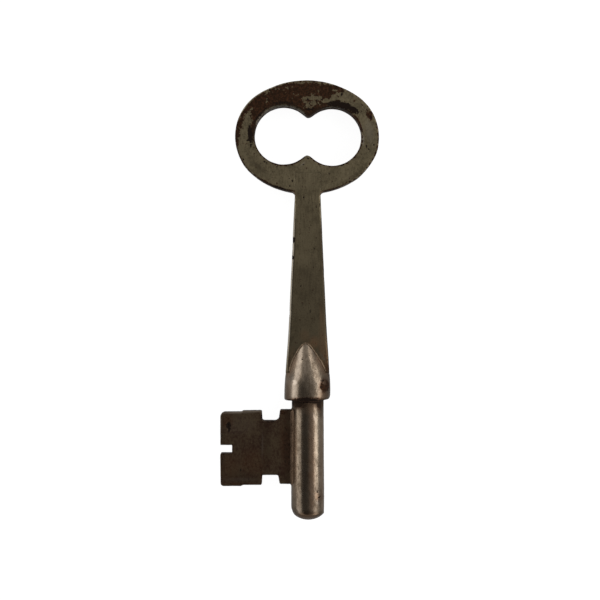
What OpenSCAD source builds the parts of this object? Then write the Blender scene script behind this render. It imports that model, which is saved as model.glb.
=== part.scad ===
// Lever-lock key with a flat oval bow, a tapered flat shank and a nosed collar.
// The key lies along Y with its bow at +Y, its bit at -X and its flat faces at +Z and -Z.
// The origin is on the post's axis, in the plane of the collar's shoulder.

/* [Bow] */
// Width of the oval bow, across the key
bow_w = 29.05; // [27:0.05:33]
// Height of the oval bow, along the key
bow_h = 22.75; // [21.6:0.05:26]
// Radius of the oval's two flatter arcs, above and below
bow_side_r = 18.4; // [16.5:0.1:24]
// How far the bow's middle lies to the right of the post's axis
bow_shift = -0.15; // [-0.5:0.05:0.5]
// How far the bow is turned clockwise on the shank, in degrees
bow_turn = 0.8; // [-2:0.1:2]
// Radius of each of the eye's two lobes
lobe_r = 5.95; // [5.2:0.05:6.4]
// Distance between the middles of the two lobes
lobe_pitch = 9.8; // [9:0.05:10.6]
// Slope of the flanks that run from the lobes to the two cusps
cusp_angle = 37; // [33:0.5:41]
// Radius of each cusp's tip
cusp_r = 0.9; // [0.3:0.05:1.2]
// How far the eye's middle lies to the right of the post's axis
eye_shift = 0.05; // [-0.4:0.05:0.4]
// How far the eye's middle lies above the bow's middle
eye_rise = 0.2; // [-0.5:0.05:0.5]
// How far the eye is turned clockwise, in degrees
eye_turn = 1.5; // [-3:0.1:3]

/* [Shank] */
// Distance from the shoulder to the bow's middle
bow_distance = 53.2; // [48:0.1:65]
// Thickness of the bow and the shank
plate_t = 4.05; // [3.2:0.05:4.6]
// Width of the shank where it enters the bow
shank_top_w = 5.15; // [4.6:0.05:6]
// Width of the shank where its flare begins
shank_mid_w = 6.9; // [6.4:0.05:7.6]
// Distance from the shoulder to the start of the flare
flare_start = 20; // [15:0.5:26]
// How far the shank's tongue runs up into the bow
tongue_l = 4; // [2.4:0.1:4.6]

/* [Collar] */
// Diameter of the collar at its shoulder
collar_d = 9.3; // [8.9:0.05:10]
// How much the collar's radius falls between its parallel part and its nose
barrel_drop = 0.26; // [0.1:0.02:0.6]
// Length of the collar's parallel part, from the shoulder
parallel_l = 1.5; // [1:0.1:3]
// Distance from the shoulder to the start of the nose
nose_start = 5.9; // [5.2:0.1:7]
// Length of the nose, up to its point on the shank's face
nose_l = 5.6; // [4:0.1:8]
// How far the slot for the shank is cut below the start of the nose
slot_drop = 0.3; // [0.1:0.05:1]
// Width of the bevel round the shoulder's edge
shoulder_bevel = 0.3; // [0.1:0.05:0.5]

/* [Post] */
// Diameter of the post's parallel end, below the bit
post_d = 6.55; // [6.2:0.05:7]
// Diameter of the post in the collar, from which it tapers out to the parallel end
post_neck_d = 6.45; // [5.8:0.05:7]
// Length of the post below the shoulder
post_l = 24.35; // [21:0.05:30]
// Radius of the post's domed tip
tip_r = 4.6; // [3.8:0.1:12]

/* [Bit] */
// Distance from the post's axis to the bit's outer edge
bit_reach = 17.7; // [16.5:0.1:22]
// Thickness of the bit
bit_t = 2.6; // [2:0.05:3.2]
// Gap between the shoulder and the bit
throat = 2.05; // [2.05:0.05:3]
// Length of the bit's root, along the post
root_l = 14.95; // [14:0.05:16]
// Length of the bit's outer part, along the post
flag_l = 15; // [14:0.05:16]
// How far the outer part sits below the root's top
flag_drop = 0.15; // [0:0.05:0.6]
// Depth to which the root is let into the post
tenon_l = 1.6; // [1:0.05:2.2]
// Distance from the post's axis to the two ward cuts
ward_x = 5.8; // [5.4:0.05:7]
// Width of the ward cuts
ward_w = 3.5; // [2.5:0.05:4.5]
// Depth of the ward cut in the top of the bit
ward_top_depth = 2; // [1:0.05:3]
// Depth of the ward cut in the foot of the bit
ward_foot_depth = 2; // [1:0.05:3]
// Height of the lever cut in the outer edge
lever_h = 1.7; // [1:0.05:3]
// Depth of the lever cut
lever_depth = 2.4; // [1:0.05:4]
// Distance from the shoulder to the middle of the lever cut
lever_y = 9.95; // [8:0.05:12]
// Radius of the bit's two outer corners
flag_corner_r = 0.7; // [0.3:0.05:1.2]
// Radius in the corners of the ward cuts
ward_corner_r = 0.4; // [0.1:0.05:0.8]

/* [Braze] */
// Gap left between the steel pieces in each brazed joint
joint_gap = 0.02; // [0.01:0.01:0.05]
// Radius of the fillets in the two corners under the bow
bow_fillet_r = 0.85; // [0.3:0.05:1.2]
// How far the braze round the nose runs up the shank
nose_run = 0.6; // [0.3:0.05:1]
// Height of the braze round the nose, above the shank's face
nose_bead = 0.25; // [0.1:0.05:0.5]
// Depth of the ring of braze at the shoulder
ring_depth = 0.4; // [0.2:0.05:0.7]
// How far the ring's face lies inside the shoulder
ring_recess = 0.05; // [0.02:0.01:0.15]
// How far the braze at the bit's root climbs along the bit
root_climb = 0.5; // [0.3:0.05:0.9]
// How far the braze at the bit's root spreads over the post to each side
root_spread = 0.45; // [0.2:0.05:0.7]
// How far the braze at the bit's root spreads above it
root_spread_top = 0.1; // [0.05:0.05:0.5]
// How far the braze at the bit's root spreads below it
root_spread_foot = 1.4; // [0.5:0.05:2]

/* [Hidden] */
$fn = 96;

steel = [0.36, 0.34, 0.28];
bright_steel = [0.55, 0.52, 0.47];
brown_steel = [0.26, 0.21, 0.16];
old_braze = [0.38, 0.26, 0.15];

// Sides on the very large circles, so that their chords stay close to the true arc
fine = 720;
// Overlap that makes a cut run clean through a face
through = 1;
// Plain stretch between the bit's braze and the post's parallel end
root_clear = 0.2;
// Depth to which the bit's braze is drawn inside the post, before it is cut to the post's face
root_seat = 0.3;

// Bow: the oval is two end circles, each tangent to the two flatter arcs
bow_end_r = (bow_side_r * bow_h - pow(bow_w / 2, 2) - pow(bow_h / 2, 2)) / (2 * bow_side_r - bow_w);
bow_end_x = bow_w / 2 - bow_end_r;
bow_side_y = bow_side_r - bow_h / 2;
bow_joint_x = bow_end_x * bow_side_r / (bow_side_r - bow_end_r);

// Middle of the arc that makes the bow's lower rim, as it stands on the key
rim_arc_x = bow_shift + bow_side_y * sin(bow_turn);
rim_arc_y = bow_distance + bow_side_y * cos(bow_turn);

// Eye: each flank leaves its lobe along a tangent and ends on the cusp's round tip
flank_x = lobe_pitch / 2 - lobe_r * sin(cusp_angle);
flank_y = lobe_r * cos(cusp_angle);
cusp_y = flank_y - flank_x * tan(cusp_angle) + cusp_r / cos(cusp_angle);
cusp_joint_x = cusp_r * sin(cusp_angle);
cusp_joint_y = cusp_y - cusp_r * cos(cusp_angle);

// Collar and the slot that takes the foot of the shank
plate_face = plate_t / 2;
slot_floor = nose_start - slot_drop;
collar_r = collar_d / 2;
neck_r = collar_r - barrel_drop;
barrel_r = (pow(nose_start - parallel_l, 2) + pow(barrel_drop, 2)) / (2 * barrel_drop);
nose_slope = (neck_r - plate_face) / nose_l;
nose_apex = nose_start + neck_r / nose_slope;

// Shank: straight edges, which bend outwards in the flare and end on the collar's neck
rim_y = bow_distance - bow_h / 2;
tongue_y = rim_y + tongue_l;
edge_slope = (shank_mid_w - shank_top_w) / 2 / (rim_y - flare_start);
flare_l = flare_start - slot_floor;
flare_bend = (neck_r - shank_mid_w / 2 - edge_slope * flare_l) / pow(flare_l, 2);
flare_steps = 24;

// Bit and post: distances are measured down from the shoulder
post_r = post_d / 2;
post_neck_r = post_neck_d / 2;
root_top = throat;
root_foot = throat + root_l;
taper_l = root_foot + root_spread_foot + root_clear;
flag_top = throat + flag_drop;
flag_foot = flag_top + flag_l;
ward_middle = ward_x + ward_w / 2;
ward_edge = ward_x + ward_w;
tenon_x = post_r - tenon_l;

// Half width of the shank's flare at a distance from the shoulder
function flare_x(y) = shank_mid_w / 2
    + edge_slope * (flare_start - y)
    + flare_bend * pow(flare_start - y, 2);

// Height of the middle of a circle that rests against the bow's lower rim
function under_rim_y(x, r) = rim_arc_y - sqrt(pow(bow_side_r + r, 2) - pow(x - rim_arc_x, 2));

// Turns a profile's own axis on to the key's, from the shoulder towards the bow
module along_key() {
    rotate([-90, 0, 0]) children();
}

// Gives an outline in the key's plane its thickness, evenly about that plane
module plate(thickness) {
    linear_extrude(height = thickness, center = true) children();
}

// Solid oval, about its own middle
module oval() {
    intersection() {
        translate([-bow_joint_x, -bow_h]) square([2 * bow_joint_x, 2 * bow_h]);
        translate([0, -bow_side_y]) circle(r = bow_side_r, $fn = fine);
        translate([0, bow_side_y]) circle(r = bow_side_r, $fn = fine);
    }
    for (side = [-1, 1])
        translate([side * bow_end_x, 0]) circle(r = bow_end_r);
}

// Opening with two round lobes and a cusp above and below, about its own middle
module eye() {
    for (side = [-1, 1])
        translate([side * lobe_pitch / 2, 0]) circle(r = lobe_r);
    difference() {
        polygon([
            [-flank_x, flank_y], [-cusp_joint_x, cusp_joint_y],
            [cusp_joint_x, cusp_joint_y], [flank_x, flank_y],
            [flank_x, -flank_y], [cusp_joint_x, -cusp_joint_y],
            [-cusp_joint_x, -cusp_joint_y], [-flank_x, -flank_y]
        ]);
        for (side = [-1, 1])
            translate([0, side * cusp_y]) circle(r = cusp_r);
    }
}

// The oval where it stands on the key
module bow_outline() {
    translate([bow_shift, bow_distance]) rotate(-bow_turn) oval();
}

// Tongue of the shank, or the socket for it when a gap is given
module tongue_outline(gap = 0) {
    translate([-shank_top_w / 2 - gap, rim_y - through])
        square([shank_top_w + 2 * gap, tongue_l + through + gap]);
}

module bow() {
    color(steel) plate(plate_t) difference() {
        bow_outline();
        translate([eye_shift, bow_distance + eye_rise]) rotate(-eye_turn) eye();
        tongue_outline(joint_gap);
    }
}

// Both edges run from the foot through the flare to the rim
module shank_outline() {
    rise = flare_l / flare_steps;
    polygon(concat(
        [for (i = [0:flare_steps]) [flare_x(slot_floor + i * rise), slot_floor + i * rise]],
        [[shank_top_w / 2, rim_y], [-shank_top_w / 2, rim_y]],
        [for (i = [0:flare_steps]) [-flare_x(flare_start - i * rise), flare_start - i * rise]]
    ));
    tongue_outline();
}

// Its foot is turned to the collar's neck, so that its corners follow the round collar
module shank() {
    color(steel) intersection() {
        plate(plate_t) shank_outline();
        along_key() cylinder(r = neck_r, h = tongue_y + through);
    }
}

// Half section of the collar: bevelled shoulder, parallel part, barrel and nose
module collar_profile() {
    intersection() {
        polygon([
            [0, 0], [collar_r - shoulder_bevel, 0], [collar_r, shoulder_bevel],
            [collar_r, nose_start], [0, nose_start]
        ]);
        union() {
            square([collar_r, parallel_l]);
            translate([collar_r - barrel_r, parallel_l]) circle(r = barrel_r, $fn = fine);
        }
    }
    polygon([
        [0, parallel_l], [neck_r, parallel_l],
        [neck_r, nose_start], [0, nose_apex]
    ]);
}

module collar() {
    color(bright_steel) difference() {
        along_key() rotate_extrude() collar_profile();
        along_key() translate([0, 0, -through])
            cylinder(r = post_neck_r + joint_gap, h = slot_floor + through);
        along_key() translate([0, 0, -through])
            cylinder(
                r1 = post_neck_r + ring_depth + through,
                r2 = post_neck_r,
                h = ring_depth + through
            );
        translate([-collar_d, slot_floor, -plate_face - joint_gap])
            cube([2 * collar_d, nose_apex, plate_t + 2 * joint_gap]);
    }
}

// Half section of the post: domed tip, parallel end, taper and the length in the collar
module post_profile() {
    intersection() {
        polygon([
            [0, -post_l], [post_r, -post_l], [post_r, -taper_l],
            [post_neck_r, 0], [post_neck_r, slot_floor], [0, slot_floor]
        ]);
        union() {
            translate([0, tip_r - post_l]) circle(r = tip_r, $fn = fine);
            translate([0, tip_r - post_l]) square([tip_r, post_l + slot_floor]);
        }
    }
}

// The post before the bit's socket is cut in its side
module post_blank() {
    along_key() rotate_extrude() post_profile();
}

// The post butts on the foot of the shank inside the collar
module post() {
    color(bright_steel) difference() {
        post_blank();
        translate([-post_d, -root_foot - joint_gap, -bit_t / 2 - joint_gap])
            cube([
                post_d - tenon_x + joint_gap,
                root_l + 2 * joint_gap,
                bit_t + 2 * joint_gap
            ]);
    }
}

// Rectangle with round corners, from its lower left corner
module round_cornered(size, r) {
    translate([r, 0]) square([size[0] - 2 * r, size[1]]);
    translate([0, r]) square([size[0], size[1] - 2 * r]);
    for (x = [r, size[0] - r], y = [r, size[1] - r])
        translate([x, y]) circle(r = r);
}

// One ward cut, open away from its floor at the height given
module ward_cut(floor_y, depth, up) {
    mouth = depth + flag_drop + 2 * ward_corner_r + through;
    translate([-ward_edge, up > 0 ? floor_y : floor_y - mouth])
        round_cornered([ward_w, mouth], ward_corner_r);
}

// The outer part and the root meet in the middle of the ward cuts
module bit_outline() {
    difference() {
        union() {
            translate([-bit_reach, -flag_foot])
                round_cornered([bit_reach - ward_middle, flag_l], flag_corner_r);
            translate([-ward_middle, -root_foot])
                square([ward_middle - tenon_x, root_l]);
        }
        ward_cut(-flag_top - ward_top_depth, ward_top_depth, 1);
        ward_cut(-flag_foot + ward_foot_depth, ward_foot_depth, -1);
        translate([-bit_reach - through, -lever_y - lever_h / 2])
            square([lever_depth + through, lever_h]);
    }
}

module bit() {
    color(brown_steel) plate(bit_t) bit_outline();
}

// Fillets in the two corners, each tangent to the bow's rim and to the shank's edge
module bow_braze() {
    color(old_braze) plate(plate_t) for (side = [-1, 1]) {
        edge_x = side * shank_top_w / 2;
        arc_x = edge_x + side * bow_fillet_r;
        arc_y = under_rim_y(arc_x, bow_fillet_r);
        rim_x = arc_x + (rim_arc_x - arc_x) * bow_fillet_r / (bow_side_r + bow_fillet_r);
        difference() {
            translate([min(edge_x, rim_x), arc_y])
                square([abs(rim_x - edge_x), 2 * bow_fillet_r]);
            translate([arc_x, arc_y]) circle(r = bow_fillet_r);
            bow_outline();
            shank_outline();
        }
    }
}

// Run of braze along the pointed edge of the nose, on both faces of the shank
module nose_braze() {
    color(old_braze) for (side = [0, 1]) mirror([0, 0, side])
        difference() {
            intersection() {
                along_key() cylinder(
                    r1 = nose_slope * (nose_apex + nose_run),
                    r2 = 0,
                    h = nose_apex + nose_run
                );
                along_key() cylinder(r = neck_r, h = nose_apex);
                translate([-neck_r, slot_floor, plate_face])
                    cube([2 * neck_r, nose_apex, nose_bead]);
            }
            along_key() rotate_extrude() collar_profile();
        }
}

// Ring of braze in the countersunk mouth of the collar's bore
module shoulder_braze() {
    ring_l = ring_depth - ring_recess;
    color(old_braze) along_key() translate([0, 0, ring_recess]) difference() {
        cylinder(r1 = post_neck_r + ring_l, r2 = post_neck_r, h = ring_l);
        translate([0, 0, -through]) cylinder(r = post_neck_r, h = ring_l + 2 * through);
    }
}

// Bead all round the bit's root, between the bit's faces and the post
module bit_braze() {
    climb_x = post_r + root_climb;
    spread_z = bit_t / 2 + root_spread;
    spread_x = sqrt(pow(post_r, 2) - pow(spread_z, 2));
    color(old_braze) difference() {
        hull() {
            translate([-climb_x, -root_foot, -bit_t / 2])
                cube([root_seat, root_l, bit_t]);
            translate([-spread_x, -root_foot - root_spread_foot, -spread_z])
                cube([
                    root_seat,
                    root_l + root_spread_top + root_spread_foot,
                    2 * spread_z
                ]);
        }
        post_blank();
        plate(bit_t) bit_outline();
    }
}

bow();
shank();
collar();
post();
bit();
bow_braze();
nose_braze();
shoulder_braze();
bit_braze();
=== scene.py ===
"""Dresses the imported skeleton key: worn flat steel, burnished round steel, a browned bit and old braze.

Sizes are millimetres in the key's own frame, and MM turns them into Blender's metres. The key lies on
its back: +Y runs from the shoulder of the collar to the bow, and +Z is the face that is looked at.
"""

import logging
import math
from collections.abc import Callable
from dataclasses import dataclass, field, replace
from enum import Enum

import bmesh
import bpy
import numpy as np
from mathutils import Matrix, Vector, noise
from mathutils.geometry import delaunay_2d_cdt
from mathutils.kdtree import KDTree


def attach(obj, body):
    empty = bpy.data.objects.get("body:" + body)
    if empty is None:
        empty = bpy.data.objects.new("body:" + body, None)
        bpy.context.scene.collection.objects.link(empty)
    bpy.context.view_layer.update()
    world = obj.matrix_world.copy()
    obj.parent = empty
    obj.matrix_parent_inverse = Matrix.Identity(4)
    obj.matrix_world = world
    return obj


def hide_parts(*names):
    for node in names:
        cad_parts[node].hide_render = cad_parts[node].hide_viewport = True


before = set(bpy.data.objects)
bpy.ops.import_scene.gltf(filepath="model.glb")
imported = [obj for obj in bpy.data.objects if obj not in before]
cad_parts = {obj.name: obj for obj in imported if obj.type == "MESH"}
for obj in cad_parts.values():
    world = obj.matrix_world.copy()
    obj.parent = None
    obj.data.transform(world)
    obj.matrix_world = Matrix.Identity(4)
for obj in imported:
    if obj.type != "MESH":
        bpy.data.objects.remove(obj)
log = logging.getLogger("skeleton_key")

MM = 0.001
BODY = "root"

SAME_POINT = 1e-7  # closer than this, two points count as one
SHARP = math.radians(50)  # an edge is sharp from this angle on
FACE_FADE = 0.8  # the wear of both faces runs together this near to the middle of the edge
SECOND_NOISE = 31.0  # moves the fine relief's noise away from the broad one's
PIT_SIZES = (0.45, 1.25)  # the smallest and the largest scattered pit, as shares of the pit radius

Piece = bpy.types.Object
Finish = bpy.types.Material
Socket = bpy.types.NodeSocket
Band = tuple[float, float]
Colour = tuple[float, float, float, float]
Loop = list[Vector]
Section = list[tuple[float, float]]
Points = list[tuple[float, float, float]]
Faces = list[tuple[int, ...]]


class Face(Enum):
    """The two broad faces of a flat piece."""

    FRONT = 1
    BACK = -1


class Side(Enum):
    """The two edges of the key, as it is looked at with the bow up."""

    RIGHT = 1
    LEFT = -1


class Grain(Enum):
    """How the filing marks of a finish run: the stretch of its noise along X, Y and Z."""

    ALONG = (1.5, 0.22, 1.5)
    EVEN = (1.0, 0.6, 1.0)
    ROUND = (1.1, 0.35, 1.1)


def smooth_share(value: np.ndarray, start: float, end: float) -> np.ndarray:
    """Rises smoothly from 0 at start to 1 at end, or falls where end is the lower."""
    t = np.clip((value - start) / (end - start), 0.0, 1.0)
    return t * t * (3.0 - 2.0 * t)


def fractal(points: np.ndarray, size: float, octaves: int = 4) -> np.ndarray:
    """Noise about 0 at each point, mostly within 1, with its largest lumps' size in millimetres."""
    return np.array([noise.fractal(Vector(p) / size, 1.0, 2.0, octaves) for p in points])


@dataclass(frozen=True)
class Spot:
    """An oval patch of stain, crust, bare steel or rubbing, or of painted shade or painted highlight. Its
    turn is anticlockwise in degrees.
    """

    x: float
    y: float
    half_w: float
    half_h: float
    amount: float = 1.0
    turn: float = 0.0

    def reach(self, points: np.ndarray) -> np.ndarray:
        """Distance from the middle of the spot, which is 1 on its rim.

        Args:
            points: Places in millimetres, one a row.

        Returns:
            The distance of each point.
        """
        turn = math.radians(self.turn)
        across, up = points[:, 0] - self.x, points[:, 1] - self.y
        u = (across * math.cos(turn) + up * math.sin(turn)) / self.half_w
        v = (up * math.cos(turn) - across * math.sin(turn)) / self.half_h
        return np.hypot(u, v)


def spots(*marks: tuple[float, ...]) -> tuple[Spot, ...]:
    """Spots from x, y, half width and half height, and an amount and a turn where they have them."""
    return tuple(Spot(*mark) for mark in marks)


@dataclass(frozen=True)
class Pit(Spot):
    """A pit that rust has eaten, with its depth in millimetres."""

    depth: float = 0.06


def pits(*marks: tuple[float, ...]) -> tuple[Pit, ...]:
    """Pits from x, y, half width, half height and depth, and a turn where they have one."""
    return tuple(Pit(*mark[:4], 1.0, *mark[5:], depth=mark[4]) for mark in marks)


@dataclass(frozen=True)
class Sweep:
    """A stretch of a round band that has rusted, between two bearings, anticlockwise in degrees.

    A width keeps it to a rim along the piece's outlines, and a reach keeps it near its centre.
    """

    x: float
    y: float
    start: float
    end: float
    fade: float = 4.0
    width: float = 100.0
    reach: float = 100.0
    amount: float = 1.0

    def share(self, points: np.ndarray, gaps: np.ndarray) -> np.ndarray:
        """How far each point lies in the stretch.

        Args:
            points: Places in millimetres, one a row.
            gaps: The distance of each point from the nearest outline.

        Returns:
            The amount in the stretch, 0 outside it.
        """
        across, up = points[:, 0] - self.x, points[:, 1] - self.y
        past = (np.degrees(np.arctan2(up, across)) - self.start + self.fade) % 360.0 - self.fade
        length = self.end - self.start
        along = smooth_share(past, -self.fade, self.fade)
        along *= smooth_share(past, length + self.fade, length - self.fade)
        rim = smooth_share(gaps, 1.5 * self.width, 0.5 * self.width)
        return self.amount * along * rim * (np.hypot(across, up) < self.reach)


@dataclass(frozen=True)
class Patina:
    """What one face has been through: rust with bare islands, scale, pits, stains and painted shade,
    browning, rubbing and painted highlights.
    """

    sweeps: tuple[Sweep, ...] = ()
    rust: tuple[Spot, ...] = ()
    bare: tuple[Spot, ...] = ()
    bare_rims: tuple[Sweep, ...] = ()
    scale: tuple[Spot, ...] = ()
    pits: tuple[Pit, ...] = ()
    # Some stains are painted shade, and some rubbed spots and rims are painted highlights.
    stains_and_shade: tuple[Spot, ...] = ()
    stained_rims: tuple[Sweep, ...] = ()
    browned: tuple[Spot, ...] = ()
    rubbed_and_highlights: tuple[Spot, ...] = ()
    rubbed_and_highlight_rims: tuple[Sweep, ...] = ()

    SOFT_IN = 0.4
    SOFT_OUT = 1.5
    PIT_FLOOR = 0.25

    def spread(self, spots: tuple[Spot, ...], points: np.ndarray) -> np.ndarray:
        """How far each point lies in any of some spots, with a soft rim.

        Args:
            spots: The spots.
            points: Places in millimetres, one a row.

        Returns:
            A spot's amount inside it, half of that on its rim, 0 well outside.
        """
        most = np.zeros(len(points))
        for spot in spots:
            share = smooth_share(spot.reach(points), self.SOFT_OUT, self.SOFT_IN)
            most = np.maximum(most, spot.amount * share)
        return most

    def marks(self, points: np.ndarray, gaps: np.ndarray) -> dict[str, np.ndarray]:
        """What the finish and the relief read at each point.

        Args:
            points: Places in millimetres, one a row.
            gaps: The distance of each point from the nearest outline.

        Returns:
            The shares of rust, scale, stain and painted shade, browning, and rubbing and painted
            highlights, and the pits' depth in millimetres.
        """
        rust = self.spread(self.rust, points)
        for sweep in self.sweeps:
            rust = np.maximum(rust, sweep.share(points, gaps))
        stain_and_shade = self.spread(self.stains_and_shade, points)
        for rim in self.stained_rims:
            stain_and_shade = np.maximum(stain_and_shade, rim.share(points, gaps))
        bare, bright = self.spread(self.bare, points), np.zeros(len(points))
        for rim in self.bare_rims:
            bare = np.maximum(bare, rim.share(points, gaps))
        for rim in self.rubbed_and_highlight_rims:
            bright = np.maximum(bright, rim.share(points, gaps))
        depth = np.zeros(len(points))
        for pit in self.pits:
            depth = np.maximum(depth, pit.depth * smooth_share(pit.reach(points), 1.0, self.PIT_FLOOR))
        return {
            "rust": rust * (1.0 - bare),
            "scale": np.maximum(self.spread(self.scale, points), self.spread(self.pits, points)),
            "stain_and_shade": stain_and_shade * (1.0 - bright),
            "browned": self.spread(self.browned, points),
            "rubbed_and_highlights": np.maximum(self.spread(self.rubbed_and_highlights, points), bright),
            "depth": depth,
        }


@dataclass(frozen=True)
class Dent:
    """A place where an outline is worn in, or bulges out where the depth is less than nothing."""

    x: float
    y: float
    reach: float
    depth: float

    def push(self, point: Vector) -> float:
        """How far the outline goes in at a point, in millimetres."""
        return self.depth * math.exp(-((point - Vector((self.x, self.y))).length / self.reach) ** 2)


@dataclass(frozen=True)
class Corner:
    """A corner of an outline and the radius that rounds it."""

    x: float
    y: float
    radius: float = 0.0


class OutlineMaker:
    """Makes closed outlines whose points are evenly spaced, with the metal on their left."""

    CLOSEST = 0.2

    def __init__(self, spacing: float) -> None:
        """Keeps the distance between neighbouring points."""
        self.spacing = spacing

    def arc(self, centre: Vector, radius: float, start: float, end: float) -> Loop:
        """Points along an arc, with both of its ends.

        Args:
            centre: Middle of the arc.
            radius: Its radius.
            start: Bearing of its first point, in degrees.
            end: Bearing of its last point.

        Returns:
            The points.
        """
        turn = math.radians(end - start)
        steps = max(2, math.ceil(abs(turn) * radius / self.spacing))
        bearings = [math.radians(start) + turn * i / steps for i in range(steps + 1)]
        return [centre + radius * Vector((math.cos(b), math.sin(b))) for b in bearings]

    def line(self, start: Vector, end: Vector) -> Loop:
        """Points along a straight line, with both of its ends."""
        steps = max(1, math.ceil((end - start).length / self.spacing))
        return [start.lerp(end, i / steps) for i in range(steps + 1)]

    def joined(self, *runs: Loop) -> Loop:
        """Closes runs of points into one loop, filling the straight gaps between them.

        Args:
            *runs: Runs of points in order.

        Returns:
            The loop, without doubles.
        """
        loop: Loop = []
        for i, run in enumerate(runs):
            loop += run + self.line(run[-1], runs[(i + 1) % len(runs)][0])
        least = self.spacing * self.CLOSEST
        return [p for i, p in enumerate(loop) if (p - loop[i - 1]).length > least]

    def rounded(self, corners: list[Corner]) -> Loop:
        """A polygon with each corner rounded by its own radius.

        Args:
            corners: The corners in order.

        Returns:
            The loop.
        """
        runs = []
        for i, corner in enumerate(corners):
            here = Vector((corner.x, corner.y))
            before, after = corners[i - 1], corners[(i + 1) % len(corners)]
            back = (Vector((before.x, before.y)) - here).normalized()
            ahead = (Vector((after.x, after.y)) - here).normalized()
            if corner.radius <= 0:
                runs.append([here])
                continue
            half = back.angle(ahead) / 2
            centre = here + (back + ahead).normalized() * corner.radius / math.sin(half)
            first = here + back * corner.radius / math.tan(half) - centre
            last = here + ahead * corner.radius / math.tan(half) - centre
            start = math.degrees(math.atan2(first.y, first.x))
            sweep = math.degrees(first.angle_signed(last))
            runs.append(self.arc(centre, corner.radius, start, start - sweep))
        return self.joined(*runs)


def inward(loop: Loop) -> list[Vector]:
    """The way into the metal at each point of a loop, lengthened at corners.

    Args:
        loop: The outline, with the metal on its left.

    Returns:
        One vector a point.
    """
    ways, sharpest = [], 0.6
    for i, point in enumerate(loop):
        before = (point - loop[i - 1]).normalized()
        after = (loop[(i + 1) % len(loop)] - point).normalized()
        normal = Vector((-before.y - after.y, before.x + after.x))
        ways.append(normal.normalized() / max(normal.length / 2, sharpest))
    return ways


@dataclass
class PlateBlank:
    """A flat piece with rounded edges, meshed finely enough to be pitted and worn."""

    name: str
    loops: list[Loop]
    thickness: float
    rounding: Callable[[Vector], float]
    fill: float = 0.2
    rim_clear: float = 0.7
    wall_rows: int = 7
    round_rows: int = 5

    def profile(self) -> Points:
        """The edge's section from the back face to the front one.

        Returns:
            For each row the share of the rounding that it lies inside the outline, the share of the
            rounding that it lies short of the face, and its side: -1, 0 to 1 over the wall.
        """
        quarter = [math.pi / 2 * i / (self.round_rows - 1) for i in range(self.round_rows)]
        back = [(1 - math.cos(a), 1 - math.sin(a), -1.0) for a in reversed(quarter)]
        wall = [(0.0, 1.0, 2.0 * i / self.wall_rows - 1.0) for i in range(1, self.wall_rows)]
        front = [(1 - math.cos(a), 1 - math.sin(a), 1.0) for a in quarter]
        return back + wall + front

    def filling(self, rims: list[Loop]) -> tuple[np.ndarray, Faces]:
        """Triangles that fill a face between its rims.

        Args:
            rims: The rims of the face, with the metal on their left.

        Returns:
            The points, with the rims' own first, and the triangles that lie in the metal.
        """
        edge_points = [p for rim in rims for p in rim]
        edges, start = [], 0
        for rim in rims:
            edges += [(start + i, start + (i + 1) % len(rim)) for i in range(len(rim))]
            start += len(rim)
        tree = KDTree(len(edge_points))
        for i, p in enumerate(edge_points):
            tree.insert((p.x, p.y, 0.0), i)
        tree.balance()
        flat = np.array([(p.x, p.y) for p in edge_points])
        low, high = flat.min(0), flat.max(0)
        inner = []
        rise = self.fill * math.sqrt(3) / 2
        for row in range(math.ceil((high[1] - low[1]) / rise)):
            for column in range(math.ceil((high[0] - low[0]) / self.fill) + 1):
                x = low[0] + (column + 0.5 * (row % 2)) * self.fill
                y = low[1] + (row + 0.5) * rise
                if tree.find((x, y, 0.0))[2] > self.fill * self.rim_clear:
                    inner.append((x, y))
        inner = np.array(inner)
        inner = inner[self.in_metal(inner, rims)]
        points = np.vstack([flat, inner])
        made = delaunay_2d_cdt([Vector(p) for p in points], edges, [], 0, SAME_POINT, True)
        source = [ids[0] for ids in made[3]]
        triangles = np.array([[source[i] for i in f] for f in made[2]])
        kept = triangles[self.in_metal(points[triangles].mean(1), rims)]
        return points, [tuple(int(i) for i in t) for t in kept]

    @staticmethod
    def in_metal(points: np.ndarray, rims: list[Loop]) -> np.ndarray:
        """Whether each point lies between the rims.

        Args:
            points: Places in millimetres, one a row.
            rims: The rims of a face.

        Returns:
            True for each point in the metal.
        """
        inside = np.zeros(len(points), bool)
        for rim in rims:
            for a, b in zip(rim, rim[1:] + rim[:1]):
                crosses = (points[:, 1] < a.y) != (points[:, 1] < b.y)
                if crosses.any():
                    at = a.x + (points[:, 1] - a.y) * (b.x - a.x) / ((b.y - a.y) or 1.0)
                    inside ^= crosses & (points[:, 0] < at)
        return inside

    def build(self) -> Piece:
        """Meshes the piece.

        Returns:
            The piece, in metres, as one closed shell.
        """
        rows, half = self.profile(), self.thickness / 2
        vertices: Points = []
        faces: Faces = []
        rim_ids: dict[Face, list[int]] = {Face.FRONT: [], Face.BACK: []}
        rims: list[Loop] = []
        for loop in self.loops:
            ways, rounds, start = inward(loop), [self.rounding(p) for p in loop], len(vertices)
            for inside, short, side in rows:
                for p, way, r in zip(loop, ways, rounds):
                    place = p + way * r * inside
                    vertices.append((place.x, place.y, side * (half - r * short)))
            count = len(loop)
            for row in range(len(rows) - 1):
                for i in range(count):
                    a, b = start + row * count + i, start + row * count + (i + 1) % count
                    faces.append((a, b, b + count, a + count))
            rim_ids[Face.BACK] += range(start, start + count)
            last = start + (len(rows) - 1) * count
            rim_ids[Face.FRONT] += range(last, last + count)
            rims.append([p + way * r for p, way, r in zip(loop, ways, rounds)])
        points, triangles = self.filling(rims)
        edge_count = sum(len(rim) for rim in rims)
        for face in Face:
            first = len(vertices)
            vertices += [(x, y, face.value * half) for x, y in points[edge_count:]]
            ids = rim_ids[face] + list(range(first, first + len(points) - edge_count))
            faces += [tuple(ids[i] for i in t[:: face.value]) for t in triangles]
        return solid_piece(self.name, vertices, faces)


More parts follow.
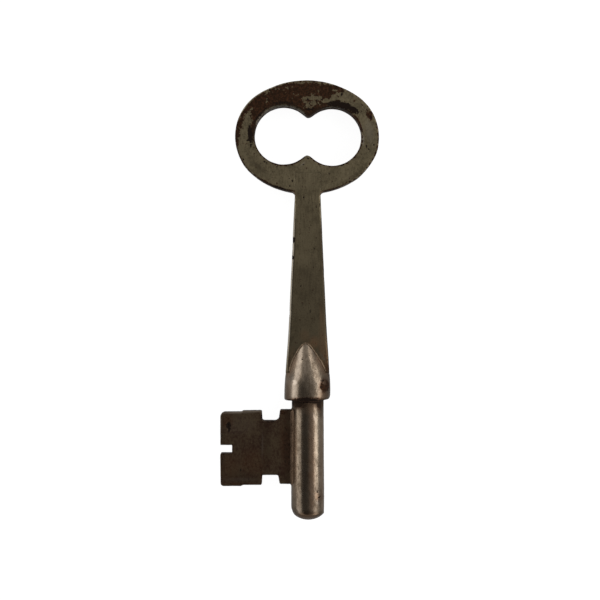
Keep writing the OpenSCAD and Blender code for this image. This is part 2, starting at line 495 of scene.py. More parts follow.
def stand(name: str, data: bpy.types.ID) -> Piece:
    """Puts a mesh, a light or a camera into the scene.

    Args:
        name: The object's name.
        data: What it holds.

    Returns:
        The object.
    """
    made = bpy.data.objects.new(name, data)
    bpy.context.scene.collection.objects.link(made)
    return made


def wire_piece(name: str, *runs: Points) -> Piece:
    """A piece of edges alone, for a tree to turn or to run a bead along.

    Args:
        name: The piece's name.
        *runs: Its runs of points, in millimetres.

    Returns:
        The piece, in metres and in the scene.
    """
    points: Points = []
    edges: Faces = []
    for run in runs:
        first = len(points)
        points += [(x * MM, y * MM, z * MM) for x, y, z in run]
        edges += [(i, i + 1) for i in range(first, len(points) - 1)]
    mesh = bpy.data.meshes.new(name)
    mesh.from_pydata(points, edges, [])
    return stand(name, mesh)


def solid_piece(name: str, vertices: Points, faces: Faces) -> Piece:
    """A closed mesh from points in millimetres, with its faces outwards.

    Args:
        name: The piece's name.
        vertices: Its points, in millimetres.
        faces: Its faces.

    Returns:
        The piece, in metres and in the scene.
    """
    mesh = bpy.data.meshes.new(name)
    mesh.from_pydata([Vector(v) * MM for v in vertices], [], faces)
    piece = stand(name, mesh)
    face_outwards(piece)
    return piece


def face_outwards(piece: Piece) -> None:
    """Closes a mesh's seams, points its faces outwards and shades it smooth.

    Args:
        piece: The piece.
    """
    shell = bmesh.new()
    shell.from_mesh(piece.data)
    bmesh.ops.remove_doubles(shell, verts=shell.verts, dist=SAME_POINT)
    bmesh.ops.recalc_face_normals(shell, faces=shell.faces)
    for f in shell.faces:
        f.smooth = True
    shell.to_mesh(piece.data)
    shell.free()


def drop(piece: Piece) -> None:
    """Removes a helper object from the scene."""
    bpy.data.objects.remove(piece)


class NodeBench:
    """Adds and joins the nodes of one tree."""

    def __init__(self, tree: bpy.types.NodeTree) -> None:
        """Keeps the tree."""
        self.tree = tree

    def add(self, kind: str, links: dict | None = None, **settings: object) -> bpy.types.Node:
        """Adds a node.

        Args:
            kind: Its type.
            links: What goes into each of its inputs: another node's output, or a value.
            **settings: Its own settings.

        Returns:
            The node.
        """
        node = self.tree.nodes.new(kind)
        for key, value in settings.items():
            setattr(node, key, value)
        for key, value in (links or {}).items():
            if isinstance(value, Socket):
                self.tree.links.new(value, node.inputs[key])
            else:
                node.inputs[key].default_value = value
        return node

    def blend(self, share: object, low: object, high: object) -> Socket:
        """A colour between two: low where the share is 0, high where it is 1."""
        node = self.add("ShaderNodeMix", {0: share, 6: low, 7: high}, data_type="RGBA")
        return node.outputs[2]


class GeometryTree(NodeBench):
    """Builds one Geometry Nodes tree, whose named inputs are its sizes, and applies it to pieces."""

    def __init__(self, name: str, sizes: dict[str, str]) -> None:
        """Starts the tree.

        Args:
            name: The tree's name.
            sizes: Each input's name, and the type of its socket.
        """
        super().__init__(bpy.data.node_groups.new(name, "GeometryNodeTree"))
        self.sockets: dict[str, str] = {}
        face = self.tree.interface
        face.new_socket(name="Geometry", in_out="INPUT", socket_type="NodeSocketGeometry")
        for label, kind in {**sizes, "Finish": "Material"}.items():
            made = face.new_socket(name=label, in_out="INPUT", socket_type=f"NodeSocket{kind}")
            self.sockets[label] = made.identifier
        face.new_socket(name="Geometry", in_out="OUTPUT", socket_type="NodeSocketGeometry")
        self.given = self.add("NodeGroupInput")
        self.result = self.add("NodeGroupOutput")

    def math(self, operation: str, a: object, b: object = 0.0) -> Socket:
        """The result of one sum on two numbers or sockets."""
        return self.add("ShaderNodeMath", {0: a, 1: b}, operation=operation).outputs[0]

    def size(self, label: str) -> Socket:
        """The socket of a named input."""
        return self.given.outputs[label]

    def close(self, shape: Socket) -> None:
        """Ends the tree with its instances made real and its finish set.

        Args:
            shape: What the tree has made.
        """
        real = self.add("GeometryNodeRealizeInstances", {"Geometry": shape}).outputs[0]
        links = {"Geometry": real, "Material": self.size("Finish")}
        dressed = self.add("GeometryNodeSetMaterial", links).outputs[0]
        self.tree.links.new(dressed, self.result.inputs[0])

    def shape(self, piece: Piece, finish: Finish, **sizes: object) -> None:
        """Gives a piece the plain mesh that the tree makes of it.

        Args:
            piece: The piece, which goes in as the tree's geometry.
            finish: Its material.
            **sizes: The inputs, named with underscores for spaces.
        """
        modifier = piece.modifiers.new(self.tree.name, "NODES")
        modifier.node_group = self.tree
        modifier[self.sockets["Finish"]] = finish
        for label, value in sizes.items():
            modifier[self.sockets[label.replace("_", " ")]] = value
        graph = bpy.context.evaluated_depsgraph_get()
        worked = piece.evaluated_get(graph)
        made = bpy.data.meshes.new_from_object(worked, preserve_all_data_layers=True, depsgraph=graph)
        piece.modifiers.clear()
        piece.data = made


def turning_tree() -> GeometryTree:
    """The tree that turns a half section, drawn as (radius, height), about the key's own axis.

    Returns:
        The tree.
    """
    tree = GeometryTree("turned_section", {"Segments": "Int"})
    section = tree.size("Geometry")
    rows = tree.add("GeometryNodeAttributeDomainSize", {0: section}).outputs["Point Count"]
    columns = tree.math("ADD", tree.size("Segments"), 1.0)
    sides = {"Size X": 1.0, "Size Y": 1.0, "Vertices X": columns, "Vertices Y": rows}
    grid = tree.add("GeometryNodeMeshGrid", sides)
    place = tree.add("GeometryNodeInputPosition").outputs[0]
    split = tree.add("ShaderNodeSeparateXYZ", {0: place})
    turn = tree.math("MULTIPLY", tree.math("ADD", split.outputs[0], 0.5), math.tau)
    up = tree.math("ADD", split.outputs[1], 0.5)
    row = tree.math("ROUND", tree.math("MULTIPLY", up, tree.math("SUBTRACT", rows, 1.0)))
    links = {"Geometry": section, "Index": row}
    sample = tree.add("GeometryNodeSampleIndex", links, data_type="FLOAT_VECTOR", domain="POINT")
    tree.tree.links.new(place, sample.inputs["Value"])
    found = tree.add("ShaderNodeSeparateXYZ", {0: sample.outputs[0]})
    across = tree.math("MULTIPLY", found.outputs[0], tree.math("SINE", turn))
    up_z = tree.math("MULTIPLY", found.outputs[0], tree.math("COSINE", turn))
    spot = tree.add("ShaderNodeCombineXYZ", {0: across, 1: found.outputs[1], 2: up_z}).outputs[0]
    turned = tree.add("GeometryNodeSetPosition", {"Geometry": grid.outputs[0], "Position": spot})
    closed = tree.add("GeometryNodeMergeByDistance", {"Geometry": turned.outputs[0], "Distance": 1e-6})
    smooth = tree.add("GeometryNodeSetShadeSmooth", {"Geometry": closed.outputs[0]})
    tree.close(smooth.outputs[0])
    return tree


def pitting_tree() -> GeometryTree:
    """The tree that scatters small pits over a surface and records them as its pitting attribute.

    Returns:
        The tree.
    """
    sizes = {"Density": "Float", "Pit Radius": "Float", "Pit Depth": "Float", "Seed": "Int"}
    tree = GeometryTree("corrosion_pits", sizes)
    skin = tree.size("Geometry")
    links = {"Mesh": skin, "Density": tree.size("Density"), "Seed": tree.size("Seed")}
    seeds = tree.add("GeometryNodeDistributePointsOnFaces", links).outputs[0]
    nearest = tree.add("GeometryNodeProximity", {0: seeds}, target_element="POINTS")
    which = tree.add("GeometryNodeSampleNearest", {0: seeds}, domain="POINT").outputs[0]
    links = {"ID": which, 2: PIT_SIZES[0], 3: PIT_SIZES[1]}
    spread = tree.add("FunctionNodeRandomValue", links, data_type="FLOAT")
    radius = tree.math("MULTIPLY", tree.size("Pit Radius"), spread.outputs[1])
    links = {"Value": nearest.outputs["Distance"], "From Min": 0.0, "From Max": radius}
    links |= {"To Min": 1.0, "To Max": 0.0}
    share = tree.add("ShaderNodeMapRange", links, interpolation_type="SMOOTHSTEP").outputs[0]
    links = {"Geometry": skin, "Name": "pitting", "Value": share}
    kept = tree.add("GeometryNodeStoreNamedAttribute", links, data_type="FLOAT", domain="POINT")
    depth = tree.math("MULTIPLY", tree.size("Pit Depth"), share)
    normal = tree.add("GeometryNodeInputNormal").outputs[0]
    sink = tree.add("ShaderNodeVectorMath", {0: normal, "Scale": depth}, operation="SCALE")
    back = tree.add("ShaderNodeVectorMath", {0: sink.outputs[0], "Scale": -1.0}, operation="SCALE")
    links = {"Geometry": kept.outputs[0], "Offset": back.outputs[0]}
    tree.close(tree.add("GeometryNodeSetPosition", links).outputs[0])
    return tree


def bead_tree() -> GeometryTree:
    """The tree that runs an uneven bead of braze along a path of edges.

    Returns:
        The tree.
    """
    sizes = {"Bead Radius": "Float", "Step": "Float", "Sides": "Int", "Lump Size": "Float"}
    tree = GeometryTree("braze_bead", sizes)
    path = tree.add("GeometryNodeMeshToCurve", {0: tree.size("Geometry")}).outputs[0]
    links = {"Curve": path, "Length": tree.size("Step")}
    even = tree.add("GeometryNodeResampleCurve", links, mode="LENGTH").outputs[0]
    links = {"Resolution": tree.size("Sides"), "Radius": tree.size("Bead Radius")}
    ring = tree.add("GeometryNodeCurvePrimitiveCircle", links).outputs[0]
    links = {"Curve": even, "Profile Curve": ring, "Fill Caps": True}
    bead = tree.add("GeometryNodeCurveToMesh", links).outputs[0]
    place = tree.add("GeometryNodeInputPosition").outputs[0]
    lumps = tree.add("ShaderNodeTexNoise", {"Vector": place, "Scale": tree.size("Lump Size")})
    even_out = tree.math("SUBTRACT", lumps.outputs[0], 0.5)
    push = tree.math("MULTIPLY", even_out, tree.size("Bead Radius"))
    normal = tree.add("GeometryNodeInputNormal").outputs[0]
    offset = tree.add("ShaderNodeVectorMath", {0: normal, "Scale": push}, operation="SCALE")
    uneven = tree.add("GeometryNodeSetPosition", {"Geometry": bead, "Offset": offset.outputs[0]})
    smooth = tree.add("GeometryNodeSetShadeSmooth", {"Geometry": uneven.outputs[0]})
    tree.close(smooth.outputs[0])
    return tree


@dataclass(frozen=True)
class Skin:
    """The relief of a finish: broad unevenness, and a finer one that is coarser where it has rusted."""

    broad: float = 0.02
    broad_size: float = 5.0
    fine: float = 0.006
    fine_size: float = 0.9
    rusted: float = 0.018


def outline_gaps(points: np.ndarray, outlines: list[Loop]) -> np.ndarray:
    """The distance of each point from the nearest outline, as it is looked at.

    Args:
        points: Places in millimetres, one a row.
        outlines: The outlines, which may be none.

    Returns:
        The distances in millimetres.
    """
    corners = [p for loop in outlines for p in loop]
    if not corners:
        return np.zeros(len(points))
    tree = KDTree(len(corners))
    for i, p in enumerate(corners):
        tree.insert((p.x, p.y, 0.0), i)
    tree.balance()
    return np.array([tree.find((x, y, 0.0))[2] for x, y, _ in points])


def weather(piece: Piece, front: Patina, back: Patina, skin: Skin, outlines: list[Loop]) -> None:
    """Wears a mesh's surface and stores what its finish reads.

    Args:
        piece: The piece, still without its pits.
        front: What has happened to the face at +Z.
        back: What has happened to the face at -Z.
        skin: The relief.
        outlines: The piece's outlines, where rust keeps to its rims.
    """
    mesh = piece.data
    count = len(mesh.vertices)
    places, normals = np.zeros(count * 3), np.zeros(count * 3)
    mesh.vertices.foreach_get("co", places)
    mesh.vertex_normals.foreach_get("vector", normals)
    places, normals = places.reshape(-1, 3) / MM, normals.reshape(-1, 3)
    gaps = outline_gaps(places, outlines)
    ahead = smooth_share(places[:, 2], -FACE_FADE, FACE_FADE)
    on_front, on_back = front.marks(places, gaps), back.marks(places, gaps)
    marks = {name: on_front[name] * ahead + on_back[name] * (1.0 - ahead) for name in on_front}
    steep = normals[:, 2] ** 2
    marks["edge"] = 4.0 * steep * (1.0 - steep)
    relief = skin.broad * fractal(places, skin.broad_size)
    fine = skin.fine + skin.rusted * marks["rust"]
    relief += fine * fractal(places + SECOND_NOISE, skin.fine_size)
    relief -= marks.pop("depth") * steep
    places += normals * relief[:, None]
    mesh.vertices.foreach_set("co", (places * MM).ravel())
    for name, values in marks.items():
        mesh.attributes.new(name, "FLOAT", "POINT").data.foreach_set("value", values)
    mesh.update()


@dataclass(frozen=True)
class Pattern:
    """A noise in a finish: lumps in a millimetre, finer layers, and its share of the tone."""

    frequency: float
    layers: float
    share: float = 0.0


class MaterialBench(NodeBench):
    """Adds and joins the nodes of one material. Its patterns are measured in millimetres."""

    ROUGHNESS = 0.6

    def __init__(self, name: str) -> None:
        """Starts the material with one Principled shader.

        Args:
            name: The material's name.
        """
        self.material = bpy.data.materials.new(name)
        self.material.use_nodes = True
        super().__init__(self.material.node_tree)
        self.shader = self.tree.nodes["Principled BSDF"]
        place = self.add("ShaderNodeTexCoord").outputs["Object"]
        scaled = self.add("ShaderNodeVectorMath", {0: place, "Scale": 1.0 / MM}, operation="SCALE")
        self.place = scaled.outputs[0]

    def math(self, operation: str, a: object, b: object = 0.0, clamp: bool = True) -> Socket:
        """The result of one sum on two numbers or sockets, kept between 0 and 1 where it is clamped."""
        node = self.add("ShaderNodeMath", {0: a, 1: b}, operation=operation, use_clamp=clamp)
        return node.outputs[0]

    def feed(self, label: str, source: Socket) -> None:
        """Links a result to one of the shader's own sockets."""
        self.tree.links.new(source, self.shader.inputs[label])

    def attribute(self, name: str) -> Socket:
        """The value of one of the mesh's own attributes."""
        return self.add("ShaderNodeAttribute", attribute_name=name).outputs["Fac"]

    def stretched(self, stretch: tuple[float, float, float]) -> Socket:
        """The place on the piece, with each axis stretched by its own factor."""
        factors = self.add("ShaderNodeVectorMath", {0: self.place, 1: stretch}, operation="MULTIPLY")
        return factors.outputs[0]

    def noise(self, pattern: Pattern, vector: Socket | None = None) -> Socket:
        """Fractal noise about a half, read at the place on the piece or at another vector."""
        links = {"Vector": vector or self.place, "Scale": pattern.frequency, "Detail": pattern.layers}
        return self.add("ShaderNodeTexNoise", {**links, "Roughness": self.ROUGHNESS}).outputs[0]

    def between(self, value: Socket, low: float, high: float) -> Socket:
        """Maps a value smoothly from 0 at low to 1 at high."""
        links = {"Value": value, "From Min": low, "From Max": high}
        return self.add("ShaderNodeMapRange", links, interpolation_type="SMOOTHSTEP").outputs[0]

    def level(self, share: Socket, low: float, high: float) -> Socket:
        """A number between two: low where the share is 0, high where it is 1."""
        return self.add("ShaderNodeMapRange", {0: share, 3: low, 4: high}).outputs[0]

    def bump(self, height: Socket, depth: float) -> None:
        """Gives the shader a relief of a depth in millimetres."""
        relief = self.add("ShaderNodeBump", {"Height": height, "Distance": depth * MM})
        self.feed("Normal", relief.outputs[0])


@dataclass(frozen=True)
class WornSteel:
    """Steel that is handled and stored: two tones in a fine grain, light edges, rust and black scale."""

    name: str
    dark: Colour
    light: Colour
    # The light colour of worn edges and rubbed steel, which also paints highlights.
    worn: Colour
    grain: Grain
    smooth: float = 0.4
    dull: float = 0.55
    edge_wear: float = 0.55
    flecks: float = 0.5
    swing: float = 3.4
    blush: float = 0.3
    metallic: float = 0.92
    crust_metallic: float = 0.85
    crust_rough: float = 0.72
    rust_dark: Colour = (0.034, 0.016, 0.007, 1.0)
    rust_light: Colour = (0.088, 0.037, 0.017, 1.0)
    scale_colour: Colour = (0.020, 0.011, 0.007, 1.0)
    # The dark colour of stains and flecks, which also paints shade.
    stain_and_shade_colour: Colour = (0.030, 0.019, 0.012, 1.0)
    brown_colour: Colour = (0.30, 0.17, 0.09, 1.0)
    relief: float = 0.014
    cloud: Pattern = Pattern(0.35, 3.0, 0.35)
    filing: Pattern = Pattern(2.4, 5.0, 0.4)
    speckle: Pattern = Pattern(3.4, 4.0, 0.25)
    edge_breaks: Pattern = Pattern(0.8, 5.0)
    crusting: Pattern = Pattern(2.6, 5.0)
    rust_edge: Pattern = Pattern(1.5, 6.0)
    scale_edge: Pattern = Pattern(2.4, 6.0)
    scale_swing: float = 2.4
    tones: Band = (0.38, 0.62)
    uneven: Band = (0.5, 1.4)
    fleck_band: Band = (0.62, 0.74)
    edge_band: Band = (0.3, 0.95)
    break_band: Band = (0.42, 0.56)
    torn_band: Band = (0.42, 0.58)
    crust_band: Band = (0.42, 0.66)
    pit_band: Band = (0.35, 0.9)
    grain_relief: float = 0.4
    bare_relief: float = 0.3
    rubbed_rough: float = 0.6

    def ragged(self, bench: MaterialBench, mark: Socket, swing: float, edge: Pattern) -> Socket:
        """Gives a soft mark an edge that is torn by noise.

        Args:
            bench: The material's bench.
            mark: The share of the mark.
            swing: How far the noise moves its edge.
            edge: The noise.

        Returns:
            The torn share.
        """
        torn = bench.math("SUBTRACT", bench.noise(edge), 0.5, clamp=False)
        moved = bench.math("ADD", mark, bench.math("MULTIPLY", torn, swing, clamp=False), clamp=False)
        return bench.between(moved, *self.torn_band)

    def bare_steel(self, bench: MaterialBench, tone: Socket, speckle: Socket) -> Socket:
        """The colour of the steel before it has rusted.

        Args:
            bench: The material's bench.
            tone: Where it lies between its two tones.
            speckle: The noise of its flecks.

        Returns:
            The colour.
        """
        steel = bench.blend(tone, self.dark, self.light)
        fleck = bench.math("MULTIPLY", bench.between(speckle, *self.fleck_band), self.flecks)
        steel = bench.blend(fleck, steel, self.stain_and_shade_colour)
        edge = bench.between(bench.attribute("edge"), *self.edge_band)
        breaks = bench.noise(self.edge_breaks)
        edge = bench.math("MULTIPLY", edge, self.edge_wear)
        edge = bench.math("MULTIPLY", edge, bench.between(breaks, *self.break_band))
        return bench.blend(edge, steel, self.worn)

    def material(self) -> Finish:
        """Builds the material.

        Returns:
            The material, which reads the mesh's rust, scale, stain and painted shade, browned, rubbed and
            painted highlights, edge and pitting.
        """
        bench = MaterialBench(self.name)
        cloud = bench.noise(self.cloud)
        along = bench.stretched(self.grain.value)
        grain = bench.noise(self.filing, along)
        speckle = bench.noise(self.speckle)
        tone = bench.math("MULTIPLY", cloud, self.cloud.share)
        tone = bench.math("ADD", tone, bench.math("MULTIPLY", grain, self.filing.share))
        tone = bench.math("ADD", tone, bench.math("MULTIPLY", speckle, self.speckle.share))
        tone = bench.between(tone, *self.tones)
        # The rubbed mask lays the light worn colour both on rubbed steel and as painted highlights.
        rubbed_and_highlights, rust = bench.attribute("rubbed_and_highlights"), bench.attribute("rust")
        steel = bench.blend(rubbed_and_highlights, self.bare_steel(bench, tone, speckle), self.worn)
        steel = bench.blend(bench.math("MULTIPLY", rust, self.blush), steel, self.rust_light)
        rusty = self.ragged(bench, rust, self.swing, self.rust_edge)
        crusting = bench.noise(self.crusting)
        crust = bench.blend(bench.between(crusting, *self.crust_band), self.rust_dark, self.rust_light)
        black = self.ragged(bench, bench.attribute("scale"), self.scale_swing, self.scale_edge)
        black = bench.math("MAXIMUM", black, bench.between(bench.attribute("pitting"), *self.pit_band))
        uneven = bench.level(grain, *self.uneven)
        # The stain mask darkens both real stains and painted shade.
        stain_and_shade = bench.math("MULTIPLY", bench.attribute("stain_and_shade"), uneven)
        colour = bench.blend(stain_and_shade, bench.blend(rusty, steel, crust), self.stain_and_shade_colour)
        browned = bench.math("MULTIPLY", bench.attribute("browned"), uneven)
        colour = bench.blend(browned, colour, self.brown_colour)
        colour = bench.blend(black, colour, self.scale_colour)
        dull = bench.math("MAXIMUM", rusty, black)
        even = bench.level(tone, self.dull, self.smooth)
        even = bench.math("MULTIPLY", even, bench.level(rubbed_and_highlights, 1.0, self.rubbed_rough))
        rough = bench.math("MAXIMUM", even, bench.math("MULTIPLY", dull, self.crust_rough))
        grit = bench.math("MULTIPLY", bench.math("ADD", dull, self.bare_relief), speckle)
        bench.feed("Base Color", colour)
        bench.feed("Metallic", bench.level(dull, self.metallic, self.crust_metallic))
        bench.feed("Roughness", rough)
        grooves = bench.math("MULTIPLY", grain, self.grain_relief)
        bench.bump(bench.math("ADD", grooves, grit), self.relief)
        return bench.material


@dataclass(frozen=True)
class OldBraze:
    """Braze that has browned over, with a little of its metal showing."""

    name: str
    dark: Colour
    light: Colour
    cloud: Pattern = Pattern(0.9, 4.0)
    speckle: Pattern = Pattern(4.0, 4.0)
    tones: Band = (0.35, 0.65)
    dull: float = 0.6
    smooth: float = 0.42
    metallic: float = 0.85
    relief: float = 0.03

    def material(self) -> Finish:
        """Builds the material.

        Returns:
            The material.
        """
        bench = MaterialBench(self.name)
        cloud, speckle = bench.noise(self.cloud), bench.noise(self.speckle)
        tone = bench.math("MULTIPLY", bench.math("ADD", cloud, speckle), 0.5)
        tone = bench.between(tone, *self.tones)
        bench.feed("Base Color", bench.blend(tone, self.dark, self.light))
        bench.feed("Roughness", bench.level(tone, self.dull, self.smooth))
        bench.shader.inputs["Metallic"].default_value = self.metallic
        bench.bump(speckle, self.relief)
        return bench.material


@dataclass(frozen=True)
class Joinery:
    """The trees that several pieces share."""

    turning: GeometryTree = field(default_factory=turning_tree)
    pitting: GeometryTree = field(default_factory=pitting_tree)
    bead: GeometryTree = field(default_factory=bead_tree)
    pit_r: float = 0.22
    pit_depth: float = 0.03

    def pit(self, piece: Piece, finish: Finish, density: float, seed: int) -> None:
        """Scatters corrosion pits over a piece, from a seed, with their density to a square millimetre."""
        sizes = {"Pit_Radius": self.pit_r * MM, "Pit_Depth": self.pit_depth * MM}
        self.pitting.shape(piece, finish, Density=density / MM**2, Seed=seed, **sizes)

    def turned(self, name: str, section: Section, finish: Finish, segments: int) -> Piece:
        """Turns a half section about the key's axis.

        Args:
            name: The piece's name.
            section: Its half section, as radius and height, in millimetres.
            finish: Its material.
            segments: Steps in the turn.

        Returns:
            The closed piece.
        """
        piece = wire_piece(name, [(r, y, 0.0) for r, y in section])
        self.turning.shape(piece, finish, Segments=segments)
        face_outwards(piece)
        return piece


def hand_over(piece: Piece, slot: str, *nodes: str) -> None:
    """Puts a finished piece on the key in place of its CAD nodes.

    Args:
        piece: The piece.
        slot: The record's material slot; not used.
        *nodes: The CAD nodes that it stands for.
    """
    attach(piece, BODY)
    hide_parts(*nodes)
    log.info("%s: %d triangles", piece.name, sum(len(f.vertices) - 2 for f in piece.data.polygons))


@dataclass
class Bow:
    """The handle: an oval plate with a spectacle-shaped eye, and the socket for the shank's tongue."""

    width: float = 29.05
    height: float = 22.75
    side_r: float = 18.4
    thickness: float = 4.05
    distance: float = 53.2
    shift: float = -0.15
    turn: float = -0.8
    lobe_r: float = 5.95
    lobe_pitch: float = 9.8
    cusp_angle: float = 37.0
    cusp_r: float = 0.9
    eye_shift: float = 0.05
    eye_rise: float = 0.2
    eye_turn: float = -1.5
    tongue_w: float = 5.15
    tongue_top: float = 45.825
    seam: float = 0.01
    edge_round: float = 0.24
    seam_round: float = 0.02
    spacing: float = 0.2
    skin: Skin = Skin()
    pit_density: float = 0.12
    seed: int = 3
    dents: tuple[Dent, ...] = (
        Dent(-11.1, 45.6, 1.8, 0.1), Dent(11.8, 46.6, 2.2, 0.12), Dent(13.9, 50.3, 1.6, -0.08),
        Dent(-7.2, 63.2, 0.9, 0.04),
    )
    front: Patina = Patina(
        sweeps=(
            Sweep(-0.1, 53.2, 56, 181, 5, amount=1.1),
            Sweep(-0.1, 53.2, 214, 263, 4, width=0.3, amount=0.95),
            Sweep(-0.1, 53.2, 181, 214, 3, width=0.22, amount=0.75),
            Sweep(-0.1, 53.2, 276, 304, 4, width=0.24, amount=0.85),
            Sweep(-0.1, 53.2, 304, 372, 4, width=0.32, amount=0.6),
            Sweep(-0.1, 53.2, 12, 56, 4, width=0.16, amount=0.7),
            Sweep(-4.85, 53.5, 186, 278, 5, width=0.2, reach=6.8, amount=0.95),
            Sweep(4.95, 53.3, 250, 305, 5, width=0.13, reach=6.8, amount=0.8),
            Sweep(4.95, 53.3, 10, 60, 5, width=0.3, reach=6.8, amount=0.95),
        ),
        rust=spots(
            (6.9, 62.3, 0.42, 1.3, 1, 8), (5.9, 61.3, 0.9, 0.35, 0.8, -20),
            (5.6, 60.5, 1.4, 0.24, 0.62, -6), (9.4, 60.4, 0.25, 0.25, 0.8),
            (12.5, 57.6, 0.62, 1.25, 0.95, 14), (-12.9, 51.3, 0.25, 1.2, 0.6, 8),
            (-14.3, 52.6, 0.45, 1.6, 0.9, 4),
        ),
        bare=spots(
            (-12.2, 56.2, 1, 2.1, 1, -8), (-12.7, 53.6, 1.05, 2.1, 1, 2), (-12.6, 51.4, 1.1, 1.8, 0.9, 6),
            (-13.3, 54.6, 0.4, 0.6, 0.6), (-0.1, 59.9, 1, 1.3, 0.62), (0.8, 60.6, 1.9, 1.5, 0.66),
            (-0.6, 60.9, 0.4, 0.35, 0.95), (1.2, 60.2, 0.55, 0.5, 1, 20),
            (2.4, 60.9, 0.6, 0.45, 0.95, 20), (3.9, 60.5, 1.5, 0.5, 0.9, 8), (5.3, 61.4, 0.5, 0.4, 0.85),
            (5.4, 62.5, 0.7, 0.22, 0.9, -10), (7.6, 61.2, 1.5, 1.2, 0.8, -30), (2, 62.3, 0.3, 0.4, 0.6),
            (-8.3, 60.1, 0.25, 0.7, 0.55, -8), (-11.4, 58.6, 0.45, 0.3, 0.75, 30),
            (-4.5, 62.9, 2, 0.5, 0.34, 12), (-1, 64.1, 3.6, 0.34, 0.62, 1),
            (3.4, 63.9, 2.4, 0.3, 0.7, -6), (-7.6, 62.2, 2, 0.3, 0.4, 24), (-2.2, 61.6, 0.7, 0.6, 0.4),
        ),
        bare_rims=(Sweep(-0.1, 53.2, 96, 168, 5, width=0.3, amount=0.75),),
        scale=spots(
            (5.7, 59.85, 1.8, 0.6), (7.6, 59.35, 1.7, 0.72, 1, -14), (9.2, 58.6, 1.2, 0.62, 1, -34),
            (0.55, 58.7, 1.2, 0.3, 0.8), (-5, 60, 3, 0.34, 0.62, -3), (-9.6, 57.6, 2.6, 0.32, 0.62, 48),
            (-11.6, 53.6, 0.5, 2.2, 0.95, 4), (-11.45, 51.4, 0.12, 0.5),
            (-8.6, 48.1, 0.6, 0.16, 0.8, -30), (7.1, 47.5, 0.6, 0.14, 0.8, 20),
            (-6, 42.95, 2.4, 0.2, 0.8, -17), (12.7, 57.1, 0.3, 0.5, 0.7, 20), (6.9, 61.7, 0.25, 0.5, 0.8),
        ),
        pits=pits(
            (-12.15, 52.4, 0.26, 0.26, 0.12), (-12, 53.75, 0.18, 0.26, 0.05),
            (-13, 48.6, 0.18, 0.22, 0.08), (-0.85, 47.5, 0.17, 0.19, 0.08),
            (0.05, 48.75, 0.2, 0.13, 0.06), (-1.4, 44.9, 0.34, 0.14, 0.1),
            (-1.05, 43.85, 0.32, 0.2, 0.14, -20), (-0.4, 43, 0.27, 0.18, 0.08),
            (-3.6, 43.2, 0.2, 0.18, 0.08), (-3.1, 44.2, 0.16, 0.3, 0.05), (-3.75, 44.7, 0.14, 0.14, 0.04),
            (2.35, 43, 0.2, 0.24, 0.09), (2.3, 44.55, 0.14, 0.2, 0.05), (4.35, 45.7, 0.18, 0.18, 0.05),
            (11.85, 51.2, 0.14, 0.3, 0.08, 10), (12.25, 50.7, 0.2, 0.16, 0.06, -30),
            (13.35, 51.6, 0.2, 0.18, 0.06), (0, 60.7, 0.24, 0.22, 0.1), (1.85, 60.5, 0.2, 0.2, 0.1),
            (0.4, 59.85, 0.15, 0.24, 0.08), (2.85, 60.65, 0.28, 0.15, 0.06),
            (-6.2, 47.1, 0.18, 0.12, 0.04),
        ),
        stains_and_shade=spots(
            (-9.5, 46.8, 2.4, 0.5, 0.3, -38), (1.8, 44.6, 2.2, 1.2, 0.14, 30),
            (8.9, 44.9, 2.6, 0.4, 0.25, 36), (0, 42.6, 3.2, 0.8, 0.12),
        ),
        stained_rims=(
            Sweep(-0.1, 53.2, 182, 350, 6, width=0.2, amount=0.4),
            Sweep(-4.85, 53.5, 40, 190, 5, width=0.5, reach=6.9, amount=0.6),
            Sweep(4.95, 53.3, 50, 140, 5, width=0.4, reach=6.9, amount=0.6),
        ),
        rubbed_and_highlights=spots(
            # The two thin lines on the eye's right edge are painted glints; the other spots are rubbed
            # steel.
            (11.2, 52.5, 0.13, 1, 1, -2), (10.9, 55, 0.1, 0.9, 0.5, 22), (12.4, 54.4, 0.9, 2.4, 0.16, 8),
            (-10, 56.6, 0.14, 1.6, 0.35, -24), (-1, 47.7, 0.7, 0.12, 0.4, 38),
        ),
    )
    back: Patina = Patina(
        sweeps=(
            Sweep(-0.1, 53.2, 20, 112, 7), Sweep(-0.1, 53.2, 150, 300, 6, width=0.26, amount=0.8),
            Sweep(4.95, 53.3, 190, 290, 5, width=0.2, reach=6.8, amount=0.8),
            Sweep(-4.85, 53.5, 20, 205, 5, width=0.3, reach=7.4),
            Sweep(4.95, 53.3, 10, 160, 5, width=0.3, reach=7.4),
        ),
        rust=spots((-11.5, 48.2, 1.6, 0.9, 0.7, -40), (4, 44, 2.4, 0.6, 0.5, 10)),
        bare=spots(
            (7.5, 61, 1.8, 0.9, 0.8, -25), (2.6, 61.8, 1.3, 0.8, 0.8, 10),
            (11.8, 57.4, 0.8, 1.4, 0.7, 25),
        ),
        scale=spots((9.4, 59, 1.4, 0.5, 1, -30), (3.4, 60.2, 1.2, 0.3, 0.8, -8)),
        pits=pits(
            (-12.9, 55.3, 0.3, 0.26, 0.1), (-12.3, 52, 0.22, 0.3, 0.08), (1.4, 44.2, 0.3, 0.22, 0.12),
            (-0.9, 43.4, 0.2, 0.2, 0.07), (12.4, 50.1, 0.26, 0.2, 0.08), (-7.8, 44.6, 0.22, 0.2, 0.08),
        ),
        stains_and_shade=spots((-8, 46, 3, 0.8, 0.3, -35), (3, 45, 2.4, 1.2, 0.2, 20)),
    )

